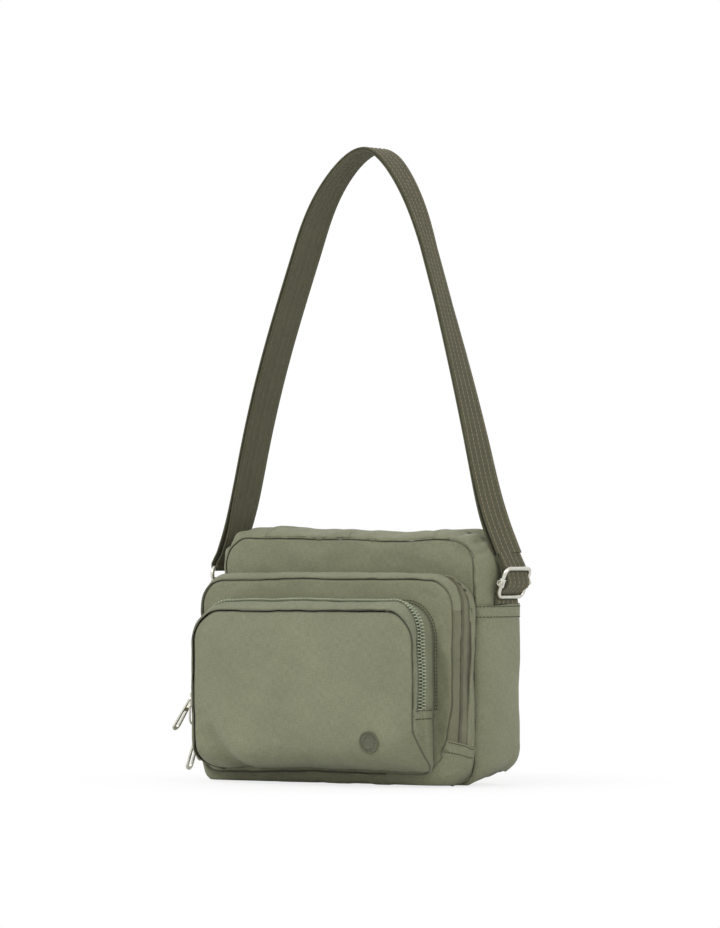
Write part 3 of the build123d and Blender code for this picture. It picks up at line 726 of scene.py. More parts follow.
def undulate(points, distance, shape, amount):
    """Height of the slack in a panel, with wrinkles and puckers along its edge."""
    height = amount * slack(points) * (1 - np.exp(-distance / 14))
    height += amount * 0.4 * fine_slack(points) * (1 - np.exp(-distance / 6))
    return height + 0.45 * edge_gathers(points, shape) + 0.35 * puckers(points) * np.exp(-distance / 6)


def on_face(y, folds):
    """Folds that lie along a front face, each from (x, z) to (x, z) with its depth and width."""
    return [((x, y, z), (to_x, y, to_z), depth, width) for x, z, to_x, to_z, depth, width in folds]


def flat_panel(name, shape, face, toward, amount, folds=()):
    """Sewn panel with turned edges; toward is -1 for one that faces the front."""
    x, z = panel_plan(shape, SEAM_LINE)
    distance = inside_distance(x, z, shape) - SEAM_LINE
    spots = np.stack([x, np.full_like(x, face), z], -1)
    rise = 0.8 * (1 - np.exp(-distance / 16)) - rolled(distance, 1.8, 2.8)
    rise += undulate(spots, distance, shape, amount) * (1 - np.exp(-distance / 1.5))
    for fold in folds:
        rise += crease(spots, *fold)
    spots[..., 1] += toward * rise
    spots = settle(top_sag(round_off(warp(spots))) if "main" in name else warp(pinch(spots)))
    if toward < 0:
        spots, distance = spots[:, ::-1], distance[:, ::-1]
    plan = np.stack([spots[..., 0], spots[..., 2]], -1)
    return grid_piece(name, spots, CLOTH, seam=seam_shade(distance, 0.9), uv=plan, thick=1.2)


front_folds = on_face(MAIN_FRONT, [
    (-112, 196, -92, 180, 0.9, 4.0),
    (-70, 202, -10, 196, 0.7, 6.0),
    (10, 203, 66, 199, 0.6, 4.0),
    (-40, 186, 60, 181, 0.7, 8.0),
    (96, 204, 118, 182, 0.9, 4.5),
    (112, 176, 121, 160, 0.8, 4.0),
    (115, 194, 124, 184, 1.6, 2.4),
    (106, 200, 120, 196, -0.9, 3.0),
])
attach(flat_panel("main_front_cloth", main_seam, MAIN_FRONT, -1, 0.8, front_folds), "main_front_panel")
attach(flat_panel("main_back_cloth", main_seam, MAIN_BACK, 1, 1.0), "main_back_panel")

# ------------------------------------------------------------------ side slip pockets
HEM_REACH, _, HEM_TOP = box_mm("side_pocket_right")[1] + (0, 0, 2.5)
HEM_SLACK = {"right": 4.5, "left": 1.5}  # how much flatter the cloth lies than its solid
slip_seed = {"right": 31, "left": 32}
for side_name, side in sides.items():
    bend = waves(slip_seed[side_name], 30, 110)
    middle = half_ring(main_full, MOUTH_HALF)
    columns = [k for k, (x, z) in enumerate(middle) if x > 100 and 1.0 < z < HEM_TOP - 1]
    levels = middle[columns, 1]
    room = HEM_REACH - HEM_SLACK[side_name] - MAIN_WIDTH / 2 - MAIN_BULGE - 1.6
    fullness = np.clip((levels - 10) / 7, -1, 0) * 1.6 + 0.4 + room * np.clip((levels - 12) / 90, 0, 1) ** 1.3
    rows = []
    reach_y = (MAIN_BACK - 1.6) * np.sin(np.linspace(-pi / 2, pi / 2, 33))
    lip = [(MAIN_BACK - 1.2, -2.2), (MAIN_BACK - 0.7, -1.3), (MAIN_BACK - 0.55, -0.5), (MAIN_BACK - 0.8, 0.3)]
    steps = [(-y, out) for y, out in lip] + [(y, 0.9) for y in reach_y[1:-1]] + lip[::-1]
    for y, lift in steps:
        shape = main_seam + (main_full - main_seam) * swell(y, MAIN_FRONT + 0.6, MAIN_BACK - 0.6, 2.3)
        ring = half_ring(shape, MOUTH_HALF)
        out = ring_outward(ring_of(shape, MOUTH_HALF))[: len(ring)]
        stand = fullness * max(1 - abs(y / (MAIN_BACK - 1.4)) ** 5, 0) + lift
        edge = ring[columns] + out[columns] * stand[:, None]
        edge = np.vstack([edge, edge[-1] + [0, HEM_TOP - edge[-1][1]]])
        rows.append(np.stack([edge[:, 0], np.full(len(edge), y), edge[:, 1]], -1))
    spots = np.array(rows)
    normal = grid_normals(spots)
    height = 0.7 * bend(spots) * (1 - abs(spots[..., 1] / MAIN_BACK) ** 4) + 0.2 * fine_slack(spots)
    height += 0.4 * puckers(spots) * np.exp(-row_depth(spots) / 4)
    below_hem = HEM_TOP - spots[..., 2]
    height += 0.5 * (below_hem < 10.5) - 0.35 * np.exp(-((below_hem - 10.5) / 0.9) ** 2)
    spots = warp(spots + normal * height[..., None])
    spots = settle(round_off(spots) if side > 0 else spots)
    spots[..., 0] *= side
    pocket = grid_piece(f"side_pocket_cloth_{side_name}", spots, CLOTH, flip=side < 0, thick=1.3,
                        seam=seam_shade(row_depth(spots), 0.9, 0.9))
    attach(pocket, f"side_pocket_{side_name}")
    facing = grid_normals(spots) * side
    for row_name, drop in (("upper", 1.8), ("lower", 10.4)):
        path, out = (np.array([[np.interp(HEM_TOP - drop, line[:, 2], value[:, k]) for k in range(3)]
                               for line, value in zip(spots, values)])[2:-2] for values in (spots, facing))
        attach(stitch_row(f"hem_stitches_{row_name}_{side_name}", path, out, SEAM_THREAD, size=1.5))

# ------------------------------------------------------------------ middle compartment
middle_seam = outline(
    MIDDLE_WIDTH + 0.6, MIDDLE_TOP - 1.7, MIDDLE_CORNER - 3, middle_low[2], MIDDLE_BASE_CORNER)
WELT_EDGE = MIDDLE_CHAIN + CHANNEL + 2.5


def middle_profile(depth):
    """How far the middle gusset stands out on its left, right, top and base, by depth behind its seam."""
    start = 1 - np.exp(-depth / 1.5)
    drop = (middle_low[2] - 0.4) * (1 - np.exp(-max(depth - 1.6, 0) / 1.8))
    top = 1.2 * start + 4.0 * sin(pi / 2 * min(depth / 9, 1)) - 0.22 * max(depth - 9, 0)
    return (4.6 * start - 0.09 * depth, 0.8 * start, top, drop)


def pocket_profile(depth):
    """The same for the front pocket, whose zip lies along the crest."""
    start = 1 - np.exp(-depth / 1.5)
    chain = POCKET_CHAIN - POCKET_FRONT - 1.5
    crest = 5.4 * sin(pi / 2 * min(depth / (chain - 3), 1)) - 0.33 * np.clip(depth - chain + 3, 0, 6)
    right = np.interp(depth, [0, 1.5, 5, chain - 4, chain - 2.6, chain + 2.6, chain + 6, chain + 13],
                      [0, 1.0, -0.6, -5.0, -5.2, -2.0, -1.6, -2.2])
    return (4.6 * start - 0.13 * depth, right, 1.6 * start + crest, 0)


def stand_out(shape, front, profile, y, extra):
    """One row of a gusset at a depth, standing out from its seam outline."""
    ring = ring_of(shape)
    normal = ring_outward(ring)
    left, right, top, base = profile(max(y - front, 0))
    side = np.where(normal[:, 0] > 0, right, left)
    level = np.where(normal[:, 1] > 0, top, base)
    ring = ring + normal * (side * normal[:, 0] ** 2 + level * normal[:, 1] ** 2 + extra)[:, None]
    return np.stack([ring[:, 0], np.full(len(ring), y), ring[:, 1]], -1)


def u_gusset(build, rows, base, dress):
    """Dressed grid of a U-shaped gusset at the given rows of (y, extra)."""
    points = np.array([stand_out(*build, y, out + base) for y, out in rows])
    normal = grid_normals(points, closed=True)
    return settle(warp(pinch(points + normal * dress(points)[..., None]))), points


def pinch(points):
    """The middle seam narrows toward its right base corner; the left one is fuller and squarer."""
    x, y, z = np.moveaxis(points, -1, 0)
    share = np.clip((66 - z) / 48, 0, 1) ** 1.25
    near = np.exp(-(((y - MIDDLE_FRONT) / 12) ** 2)) * (y > MIDDLE_FRONT - 8)
    corner = np.exp(-((np.hypot(x + 118, z - 6) / 13) ** 2)) * (y > MIDDLE_FRONT - 8)
    narrowed = 10.5 * share * near * np.clip((x - 70) / 45, 0, 1)
    return moved(points, x=-(narrowed + 3.6 * corner), z=-3.0 * corner)


def above(points, level):
    """Quads of a ring whose columns lie above a height, on the grid's middle row."""
    z = points[len(points) // 2, :, 2]
    clear = np.minimum(z, np.roll(z, -1)) > level
    return np.broadcast_to(clear[None, :], (len(points) - 1, points.shape[1]))


def middle_wave(points):
    """How far loose cloth of the middle compartment and the pocket stands off."""
    near_seam = 0.25 * puckers(points) * np.exp(-row_depth(points) / 4)
    return 0.35 * slack(points) + 0.15 * fine_slack(points) + near_seam + 0.25 * seam_gathers(points, 6)


def span_rows(first, last, count, out=0.0):
    """Evenly spaced rows of a gusset, each a depth and a stand-off."""
    return [(y, out) for y in np.linspace(first, last, count)]


front_lip = [(1.5, -2.1), (0.8, -1.3), (0.35, -0.6), (0.6, -0.1)]
rear_lip = [(1.2, 0.0), (0.7, -0.3), (0.3, -0.9), (0.1, -1.8)]
middle_build = (middle_seam, MIDDLE_FRONT, middle_profile)


def lips(front, back, count, out=0.0):
    """Rows from the front seam to the rear one, turned in at both."""
    rows = [(front + dy, o + out) for dy, o in front_lip]
    rows += span_rows(front + 1.4, back - 1.6, count, out)
    return rows + [(back - dy, o + out) for dy, o in rear_lip]


FLAP_BEND = ("main_bag", "middle_flap", (0, -52.5 * MM, 50 * MM), (0, -60.8 * MM, 51.17 * MM))
tape_rows = [(MIDDLE_FRONT + dy, o) for dy, o in front_lip]
tape_rows += span_rows(MIDDLE_FRONT + 1.4, MIDDLE_CHAIN - 0.3, 12)
spots, plan = u_gusset(middle_build, tape_rows, -0.5, middle_wave)
front_shade = seam_shade(run_length(plan[:, 0])[:, None] - 1.2, 1.2)
BAND_END = MIDDLE_TOP - MIDDLE_CORNER - 2  # the tape shows at the sides only, below the top corners
keep = above(plan, MIDDLE_TAB - 5) & ~above(plan, BAND_END)
tape = grid_piece("middle_tape_front", spots, TAPE_BROWN, True, keep, front_shade, thick=0.8)
attach(tape, "middle_zip_tape_front", FLAP_BEND)
band = grid_piece("middle_band_front", spots, CLOTH, True, above(plan, BAND_END), front_shade, thick=0.8)
attach(band, "middle_gusset_front", FLAP_BEND)
rows = span_rows(MIDDLE_CHAIN + 0.3, WELT_EDGE + 5.5, 9)
spots, plan = u_gusset(middle_build, rows, -0.5, middle_wave)
# painted shade under the welt: the rear tape darkens from just before the welt's front edge backward
tape = grid_piece("middle_tape_rear", spots, TAPE_BROWN, True, above(plan, MIDDLE_TAB - 5), thick=0.8,
                  seam=np.clip((plan[:, :1, 1] - WELT_EDGE + 2) / 4, 0, 0.8))
attach(tape, "middle_zip_tape_rear middle_zip_tape_lower")

welt_folds = waves(41, 18, 60)


def welt_bow(points):
    """The front edge of the welt lies further back half way up the sides."""
    share = np.clip((MAIN_FRONT - 3 - points[..., 1]) / 9, 0, 1)
    return moved(points, y=4.5 * share * np.exp(-(((points[..., 2] - 104) / 32) ** 2)))


def welt_wave(points):
    """How far the welt stands off: soft folds between its edges, drawn in along the front one."""
    share = np.clip((points[..., 1] - WELT_EDGE) / 8, 0, 1)
    flat_above = np.clip((points[..., 2] - 112) / 32, 0, 1)
    edge = 0.9 * np.exp(-(((points[..., 1] - WELT_EDGE) / 2.5) ** 2)) * flat_above
    return middle_wave(points) + 0.9 * welt_folds(points) * np.sin(pi * share) - edge


rows = [(WELT_EDGE + 0.35, -0.9), (WELT_EDGE, -0.35), (WELT_EDGE - 0.05, 0.25), (WELT_EDGE + 0.3, 0.7),
        (WELT_EDGE + 0.9, 0.8), (WELT_EDGE + 1.7, 0.5), (WELT_EDGE + 2.6, 0.45)]
rows += span_rows(WELT_EDGE + 3.8, MAIN_FRONT - 1.6, 8, 0.4) + [(MAIN_FRONT - dy, o) for dy, o in rear_lip]
spots, plan = u_gusset(middle_build, rows, 0.0, welt_wave)
spots = welt_bow(spots)
rear_depth = MAIN_FRONT - plan[:, :1, 1]
welt = grid_piece("middle_welt", spots, CLOTH, True, above(plan, MIDDLE_TAB - 6),
                  seam_shade(rear_depth - 0.3, 1.3), thick=1.2)
attach(welt, "middle_gusset_rear")

TAB_SLOPE = 6.0  # the right end of the base gusset runs up toward the front


def tab_shear(points):
    """Slope of the right end of the base gusset."""
    share = np.clip((WELT_EDGE + 4 - points[..., 1]) / 22, 0, 1)
    near = np.exp(-(((points[..., 2] - MIDDLE_TAB) / 20) ** 2)) * (points[..., 0] > 60)
    return moved(points, z=TAB_SLOPE * share * near)


def base_wave(points):
    """The same for the base gusset, whose turned hems are thicker."""
    hem = points[..., 2] > MIDDLE_TAB - 7.5
    return 0.5 * slack(points) + 0.25 * fine_slack(points) + 0.35 * puckers(points) + 0.5 * hem


spots, plan = u_gusset(middle_build, lips(MIDDLE_FRONT, MAIN_FRONT, 22), 0.45, base_wave)
spots = tab_shear(spots)
middle_base = grid_piece("middle_base_cloth", spots, CLOTH, True, ~above(plan, MIDDLE_TAB - 0.5),
                         seam_shade(row_depth(plan) - 0.8, 1.2), thick=1.4)
attach(middle_base, "middle_gusset_base middle_zip_tabs", FLAP_BEND)
normal = grid_normals(spots, closed=True)
plan_middle = plan[len(plan) // 2]
for side_name, side in sides.items():
    for row_name, drop in (("upper", 1.8), ("lower", 7.6)):
        off = np.where(plan_middle[:, 0] * side > 60, abs(plan_middle[:, 2] - (MIDDLE_TAB - drop)), np.inf)
        column = int(np.argmin(off))
        row = stitch_row(f"middle_tab_stitches_{row_name}_{side_name}", spots[4:-4, column],
                         normal[4:-4, column], SEAM_THREAD, 2.6, 1.5)
        attach(row, where=FLAP_BEND)

middle_folds = on_face(MIDDLE_FRONT, [
    (114, 160, 118, 120, 0.9, 4.5),
    (110, 130, 122, 96, -0.9, 5.0),
    (112, 98, 120, 70, 1.0, 4.0),
    (121, 82, 110, 52, -0.8, 4.0),
    (110, 60, 118, 36, 0.9, 4.0),
    (80, 166, 112, 150, 0.8, 5.0),
    (-40, 163, 50, 158, 0.6, 5.0),
    (-116, 150, -84, 166, 0.8, 4.0),
])
middle_panel = flat_panel("middle_front_cloth", middle_seam, MIDDLE_FRONT, -1, 0.85, middle_folds)
attach(middle_panel, "middle_front_panel", "middle_flap")

# ------------------------------------------------------------------ front pocket
BELLY_TOP, BELLY_LOW = 47.0, 11.0
badge_low, badge_high = box_mm("round_badge")
badge_middle = (badge_low + badge_high) / 2 + (3, 0, -3)
BADGE_RADIUS = (badge_high[0] - badge_low[0]) / 2
POCKET_SEAM = POCKET_FRONT + 1.5
pocket_seam = outline(POCKET_WIDTH - 1.0, POCKET_TOP - 3.6, POCKET_CORNER - 3, BELLY_LOW, 9)
pocket_build = (pocket_seam, POCKET_SEAM, pocket_profile)
BELLY_DEPTH = MIDDLE_FRONT - 1.2 - POCKET_SEAM


def belly(x, z):
    """How far the pocket's front runs back toward its bottom seam, fuller in the middle."""
    down = np.clip((BELLY_TOP - z) / (BELLY_TOP - BELLY_LOW), 0, 1)
    fullness = np.clip((POCKET_WIDTH / 2 - abs(x)) / 52, 0, 1)
    fullness = fullness * fullness * (3 - 2 * fullness)
    return BELLY_DEPTH * down ** (np.where(x > 0, 1.15, 4.6) + np.where(x > 0, 3.4, 0.8) * fullness)


pocket_folds = on_face(POCKET_SEAM, [
    (-99, 52, -68, 6, 6.5, 8.5),
    (-82, 44, -44, 10, -2.0, 10.0),
    (52, 34, 106, 12, -1.6, 6.0),
    (60, 24, 100, 12, 1.2, 5.0),
    (-20, 26, 4, 12, 0.8, 6.0),
    (-50, 24, -36, 12, -0.8, 6.0),
    (30, 22, 40, 12, 0.8, 5.0),
    (-104, 130, -88, 141, 0.8, 4.0),
    (92, 126, 104, 116, 0.8, 5.0),
    (-60, 142, -20, 139, 0.6, 3.5),
    (36, 141, 70, 138, 0.6, 4.0),
    (-70, 96, 40, 84, 0.7, 26.0),
])


def pocket_panel():
    """Front of the pocket: crowned, sagging in below its fold, flat under the badge."""
    x, z = panel_plan(pocket_seam, SEAM_LINE, 2.6)
    distance = inside_distance(x, z, pocket_seam) - SEAM_LINE
    spots = np.stack([x, np.full_like(x, POCKET_SEAM), z], -1)
    crown = 4.0 * (1 - (1 - np.clip(distance / 60, 0, 1)) ** 2)
    from_badge = np.hypot(x - badge_middle[0], z - badge_middle[2]) / (BADGE_RADIUS * 1.6)
    slackness = (1 - np.exp(-distance / 1.5)) * (1 - np.exp(-(from_badge**4)))
    rise = crown - rolled(distance, 1.4, 2.4) + undulate(spots, distance, pocket_seam, 0.8) * slackness
    rise += 0.5 * puckers(spots * (1.3, 1, 0.25)) * np.exp(-((z - BELLY_LOW) / 9))
    for fold in pocket_folds:
        rise += crease(spots, *fold)
    spots[..., 1] += belly(x, z) - rise
    spots[..., 2] -= 0.4 * rise * np.clip((BELLY_TOP - z) / 30, 0, 1)
    spots = warp(spots)[:, ::-1]
    plan = np.stack([spots[..., 0], spots[..., 2]], -1)
    shade = seam_shade(distance[:, ::-1], 0.9)
    return grid_piece("pocket_front_cloth", spots, CLOTH, seam=shade, uv=plan, thick=1.2), spots


bend_start, bend_end = ((0, -90 * MM, (POCKET_FOLD + z) * MM) for z in (-8, 8))
POCKET_BEND = ("middle_flap", "pocket_flap", bend_start, bend_end)
pocket_cloth, pocket_spots = pocket_panel()
attach(pocket_cloth, "pocket_panel_lower pocket_panel_upper", POCKET_BEND)
rows = [(POCKET_SEAM + dy, o) for dy, o in front_lip]
rows += span_rows(POCKET_SEAM + 1.4, POCKET_CHAIN - 0.3, 14)
spots, plan = u_gusset(pocket_build, rows, 0.0, middle_wave)
front_shade = seam_shade(run_length(plan[:, 0])[:, None] - 1.2, 1.2)
# painted shade under the teeth along the tape's back edge
shade_under_chain = 0.55 * np.exp(-(((plan[:, :1, 1] - POCKET_CHAIN) / 2.8) ** 2))
tape = grid_piece("pocket_tape_front", spots, TAPE_GREEN, True, above(plan, POCKET_TAB - 4),
                  front_shade + shade_under_chain, thick=0.8)
attach(tape, "pocket_gusset_front pocket_zip_tape_front", POCKET_BEND)

FLANGE = 3.4  # the rear tape lies flat on the middle panel over this width
rows = span_rows(POCKET_CHAIN + 0.3, MIDDLE_FRONT - 2.4, 14)
rows += [(MIDDLE_FRONT - 1.6, 0.2), (MIDDLE_FRONT - 1.2, 0.7), (MIDDLE_FRONT - 1.0, 1.4),
         (MIDDLE_FRONT - 0.95, 2.4), (MIDDLE_FRONT - 0.9, FLANGE)]
spots, plan = u_gusset(pocket_build, rows, 0.0, lambda p: 0.3 * slack(p))
# painted shade: dark under the teeth and again where the tape folds down onto the middle panel
shade_y = [POCKET_CHAIN, POCKET_CHAIN + 4, MIDDLE_FRONT - 3.5, MIDDLE_FRONT - 1.4, MIDDLE_FRONT - 0.9]
tape = grid_piece("pocket_tape_rear", spots, TAPE_GREEN, True, above(plan, POCKET_TAB - 4), thick=0.8,
                  seam=np.interp(plan[:, :1, 1], shade_y, [0.55, 0, 0, 0.75, 0.1]))
attach(tape, "pocket_gusset_rear pocket_zip_tape_rear pocket_zip_tape_lower", "middle_flap")
z_mid = plan[len(plan) // 2, :, 2]
start = int(np.argmax((z_mid > POCKET_TAB) & (plan[0, :, 0] > 0)))
stop = len(z_mid) - int(np.argmax((z_mid > POCKET_TAB)[::-1] & (plan[0, :, 0] < 0)[::-1]))
for row_name, index in (("inner", -3), ("outer", -1)):
    path = spots[index, start:stop] + (spots[index - 1, start:stop] - spots[index, start:stop]) * 0.35
    out = np.broadcast_to([0.0, -1.0, 0.0], path.shape)
    row = stitch_row(f"pocket_seam_stitches_{row_name}", path, out, SEAM_THREAD, 2.8, 1.4, 0.1)
    attach(row, where="middle_flap")

for side_name, side in sides.items():
    curved = BELLY_LOW + 19 * np.linspace(1, 0.03, 22)[1:] ** 1.2
    levels = np.append(np.linspace(POCKET_TAB + 2.5, 30, 26), curved)
    columns = []
    for z in levels:
        x_front = half_width(pocket_seam, z) - SEAM_LINE
        sunk = float(belly(np.array(x_front * side), np.array(z)))
        y_front = POCKET_SEAM + 0.9 + min(sunk, BELLY_DEPTH - 0.8)
        share = np.concatenate([[0, 0.012, 0.03], np.linspace(0.06, 0.94, 18), [1.0]])
        y = y_front + (MIDDLE_FRONT - 0.9 - y_front) * share
        stand = np.array([pocket_profile(max(depth - POCKET_SEAM, 0))[1 if side > 0 else 0] for depth in y])
        x = half_width(pocket_seam, z) + stand + 0.9 * np.sin(pi * share) - (1 + 0.9) * np.exp(-share / 0.02)
        columns.append(np.stack([x * side, y, np.full_like(x, z)], -1))
    spots = np.array(columns).swapaxes(0, 1)
    if side > 0:
        spots = spots[:, ::-1]
    normal = grid_normals(spots)
    height = 0.5 * slack(spots) + 0.35 * fine_slack(spots) + 0.5 * (spots[..., 2] > POCKET_TAB - 5.0)
    height += crease(spots, (side * 111, -92, 58), (side * 108, -72, 20), 1.5, 3.2)
    height += crease(spots, (side * 112, -84, 56), (side * 112, -76, 30), -1.0, 3.5)
    height *= np.sin(pi * np.linspace(0.02, 0.98, len(spots)))[:, None] ** 0.5
    spots = warp(spots + normal * height[..., None])
    across = np.linspace(0, 30, len(spots))[:, None]
    shade = np.maximum(seam_shade(across, 1.3), seam_shade(30 - across, 1.3))
    lower = grid_piece(f"pocket_base_cloth_{side_name}", spots, CLOTH, seam=shade, thick=1.3)
    attach(lower, "pocket_gusset_base pocket_zip_tabs", "middle_flap")
    facing = grid_normals(spots)
    levels = spots[len(spots) // 2, :, 2]
    for row_name, drop in (("upper", -0.7), ("lower", 5.6)):
        column = int(np.argmin(abs(levels - (POCKET_TAB - drop))))
        row = stitch_row(f"pocket_tab_stitches_{row_name}_{side_name}", spots[3:-1, column],
                         facing[3:-1, column], SEAM_THREAD, 2.6, 1.5)
        attach(row, where="middle_flap")

# ------------------------------------------------------------------ zips
TOOTH = lathe_form([(-0.3, 0.3), (0.0, 0.52), (0.6, 0.66), (1.1, 0.46),
                    (2.2, 0.5), (2.9, 0.66), (3.3, 0.55), (3.45, 0.3)], 8, 1.4)
TURN = lathe_form([(-0.5, 0.2), (-0.2, 0.42), (0.9, 0.46), (1.9, 0.4), (2.4, 0.18)], 6, 0.9)


def zip_row(name, path, outward, toward, kind):
    """One side's teeth along a chain; toward is -1 for the front side and 1 for the rear one."""
    form, pitch, starts, lift, tilt, material = kind
    spots, ups = resample(path, pitch, starts[toward > 0], outward)
    along = unit(np.gradient(spots, axis=0))
    ups = unit(ups - (ups * along).sum(-1)[:, None] * along)
    across = unit(np.cross(ups, along))
    across *= np.sign(across[:, 1] * toward)[:, None]
    lean = unit(across + along * tilt * toward)
    return studs(name, spots + ups * lift, lean, ups, np.cross(ups, lean), *form, material)


# form, pitch, start of the front and rear rows, lift, tilt, material
MOULDED = (TOOTH, 2.7, (0.4, 1.75), 1.0, 0.0, TEETH)
COILED = (TURN, 1.15, (0.2, 0.77), 0.15, 0.25, COIL)


def u_zip(name, kind, path, outward, still, bend):
    """Both sides of a zip that runs round a compartment; its front side is passed the flap's bend, its rear
    side the body that holds it.
    """
    row = zip_row(f"{name}_front", path, outward, -1, kind)
    chain = f"{name.split('_')[0]}_zip_chain"
    attach(row, f"{chain}_front", bend)
    row = zip_row(f"{name}_rear", path, outward, 1, kind)
    attach(row, f"{chain}_rear {chain}_lower", still)


def ring_path(build, y, level):
    """Path along a U-shaped zip at one depth, from the right end up, over and down the left."""
    ring = stand_out(*build, y, 0.0)
    normal = ring_outward(ring[:, ::2])
    high = np.flatnonzero(ring[:, 2] > level)
    ring, normal = ring[high], normal[high]
    return ring, np.stack([normal[:, 0], np.zeros(len(ring)), normal[:, 1]], -1)


path, out = ring_path(middle_build, MIDDLE_CHAIN, MIDDLE_TAB + 0.5)
path = warp(pinch(path + out * (0.35 * slack(path) + 0.15 * fine_slack(path) - 0.3)[:, None]))
u_zip("middle_coil", COILED, path, out, "main_bag", FLAP_BEND)

path, out = ring_path(pocket_build, POCKET_CHAIN, POCKET_TAB + 0.5)
path = warp(path + out * 0.3 * slack(path)[:, None])
on_crest = np.clip((path[:, 2] - POCKET_TOP + 30) / 26, 0, 1)
path += out * 0.9 * on_crest[:, None]
rolled_out = out + np.outer(on_crest, (0, 0.36, 0))
rolled_out = unit(rolled_out + np.outer(np.clip(out[:, 0], 0, 1), (0, -0.62, 0)))
u_zip("pocket_teeth", MOULDED, path, rolled_out, "middle_flap", POCKET_BEND)

# the main zip lies in the crown of the bag
crown = main_dressed[len(main_dressed) // 2]
order = np.argsort(-crown[:, 0])
top_line = np.array([crown[k] for k in order if on_top[k] and abs(crown[k][0]) < RUN_END + 2])


def top_run(x_low, x_high, drop):
    """Middle line of the top's channel between two places."""
    x = np.linspace(x_low, x_high, int((x_high - x_low) / 3) + 2)
    return np.stack([x, 0 * x, np.interp(x, top_line[:, 0], top_line[:, 2]) - drop], -1)


def top_zip(part, half, side_name, where, stretch, tape_node, chain_node):
    """Tape and coil of one half of the main zip, over one stretch of the top."""
    toward = halves[half]
    line = top_run(*stretch, 1.25)
    spots = np.array([line + (0, toward * reach, 0) for reach in (0.2, 1.5, 3.2, 5.0, 7.8)])
    # the last two rows get painted shade toward the tape's outer edge, where it runs in under the gusset
    # cloth
    tape = grid_piece(f"{part}_tape_{half}_{side_name}", spots, TAPE_BROWN, flip=toward > 0, thick=0.6,
                      seam=np.array([0, 0, 0, 0.2, 0.6])[:, None])
    attach(tape, tape_node, where)
    line = top_run(*stretch, 1.0)
    up = np.broadcast_to([0.0, 0.0, 1.0], line.shape)
    coil = zip_row(f"{part}_coil_{half}_{side_name}", line, up, toward, COILED)
    attach(coil, chain_node, where)


for half in halves:
    for side_name, side in sides.items():
        stretch = sorted((0, side * MOUTH_HALF))
        top_zip("main", half, side_name, mouth(half, side), stretch,
                f"main_zip_tape_{half}", f"main_zip_chain_{half}")
for side_name, side in sides.items():
    for half in halves:
        stretch = sorted((side * MOUTH_HALF, side * RUN_END))
        top_zip("main_end", half, side_name, "main_bag", stretch, "main_zip_end_tapes", "main_zip_end_chains")

# ------------------------------------------------------------------ round badge
near = np.linalg.norm(pocket_spots[..., ::2] - badge_middle[::2], axis=-1) < BADGE_RADIUS + 1
patch = pocket_spots[near]
plane = np.stack([patch[:, 0] - badge_middle[0], patch[:, 2] - badge_middle[2], np.ones(len(patch))], -1)
fit = np.linalg.lstsq(plane, patch[:, 1], rcond=None)[0]
badge_out = unit(np.array([fit[0], -1.0, fit[1]]))
badge_right = unit(np.array([1.0, 0, 0]) - badge_out * badge_out[0])
badge_up = np.cross(badge_right, -badge_out)
badge_up *= np.sign(badge_up[2])
badge_seat = np.array([badge_middle[0], fit[2], badge_middle[2]])
# share of the radius and height: raised rim, knurled channel, inner ring, domed middle
profile = [(1.0, -0.6), (1.0, 1.0), (0.985, 1.35), (0.955, 1.55), (0.915, 1.6), (0.88, 1.45), (0.865, 1.1),
           (0.85, 0.8), (0.80, 0.75), (0.62, 0.75), (0.59, 0.85), (0.575, 1.2), (0.555, 1.4), (0.525, 1.45),
           (0.50, 1.35), (0.485, 1.0), (0.47, 0.8), (0.35, 0.85), (0.18, 1.0), (0.02, 1.05)]
BADGE_STEPS, BADGE_RIDGES = 192, 24
around = 2 * pi * np.arange(BADGE_STEPS) / BADGE_STEPS
spoke = np.cos(around)[:, None] * badge_right + np.sin(around)[:, None] * badge_up
ridges = 0.6 * np.clip(0.5 + np.cos(around * BADGE_RIDGES), 0, 1)
rings = []
for share, height in profile:
    level = height + (ridges if share in (0.80, 0.62) else 0 * around)
    rings.append(badge_seat + BADGE_RADIUS * share * spoke + badge_out * level[:, None])
badge = grid_piece("round_badge_rubber", np.array(rings), RUBBER, True, flip=True)
attach(badge, "round_badge", "middle_flap")

# ------------------------------------------------------------------ strap
anchor_low, anchor_high = box_mm("strap_anchor_right")
bar_low_corner, bar_high_corner = box_mm("strap_slider_bar")
ring_low, ring_high = box_mm("left_ring")
WEB, PLAY, WEB_WIDTH = 1.6, 0.3, anchor_high[1] - anchor_low[1]
SEWN_X = anchor_low[0] + WEB / 2
ANCHOR_X = anchor_high[0] - WEB / 2
SWING_X = ANCHOR_X + WEB + PLAY
LAP_TOP = anchor_high[2]
LAP_BASE = LAP_TOP - 7.0
PIVOT = LAP_TOP - 3.5
PITCH = WEB + PLAY
STRAP_TOP = box_mm("strap_outer_ply")[1][2] - PITCH / 2 - WEB / 2 - 5.5
INBOARD = 9.0  # the right end of the strap hangs nearer the bag than its stiff solid
leg_shape = np.array([
    (0.942, 0.100), (0.862, 0.171), (0.745, 0.328), (0.591, 0.547), (0.415, 0.770), (0.241, 0.929),
    (0.041, 1.000), (-0.230, 0.934), (-0.436, 0.778), (-0.644, 0.556), (-0.809, 0.332), (-0.931, 0.152),
    (-0.975, 0.107)])  # the strap's rise from its right end to its left one


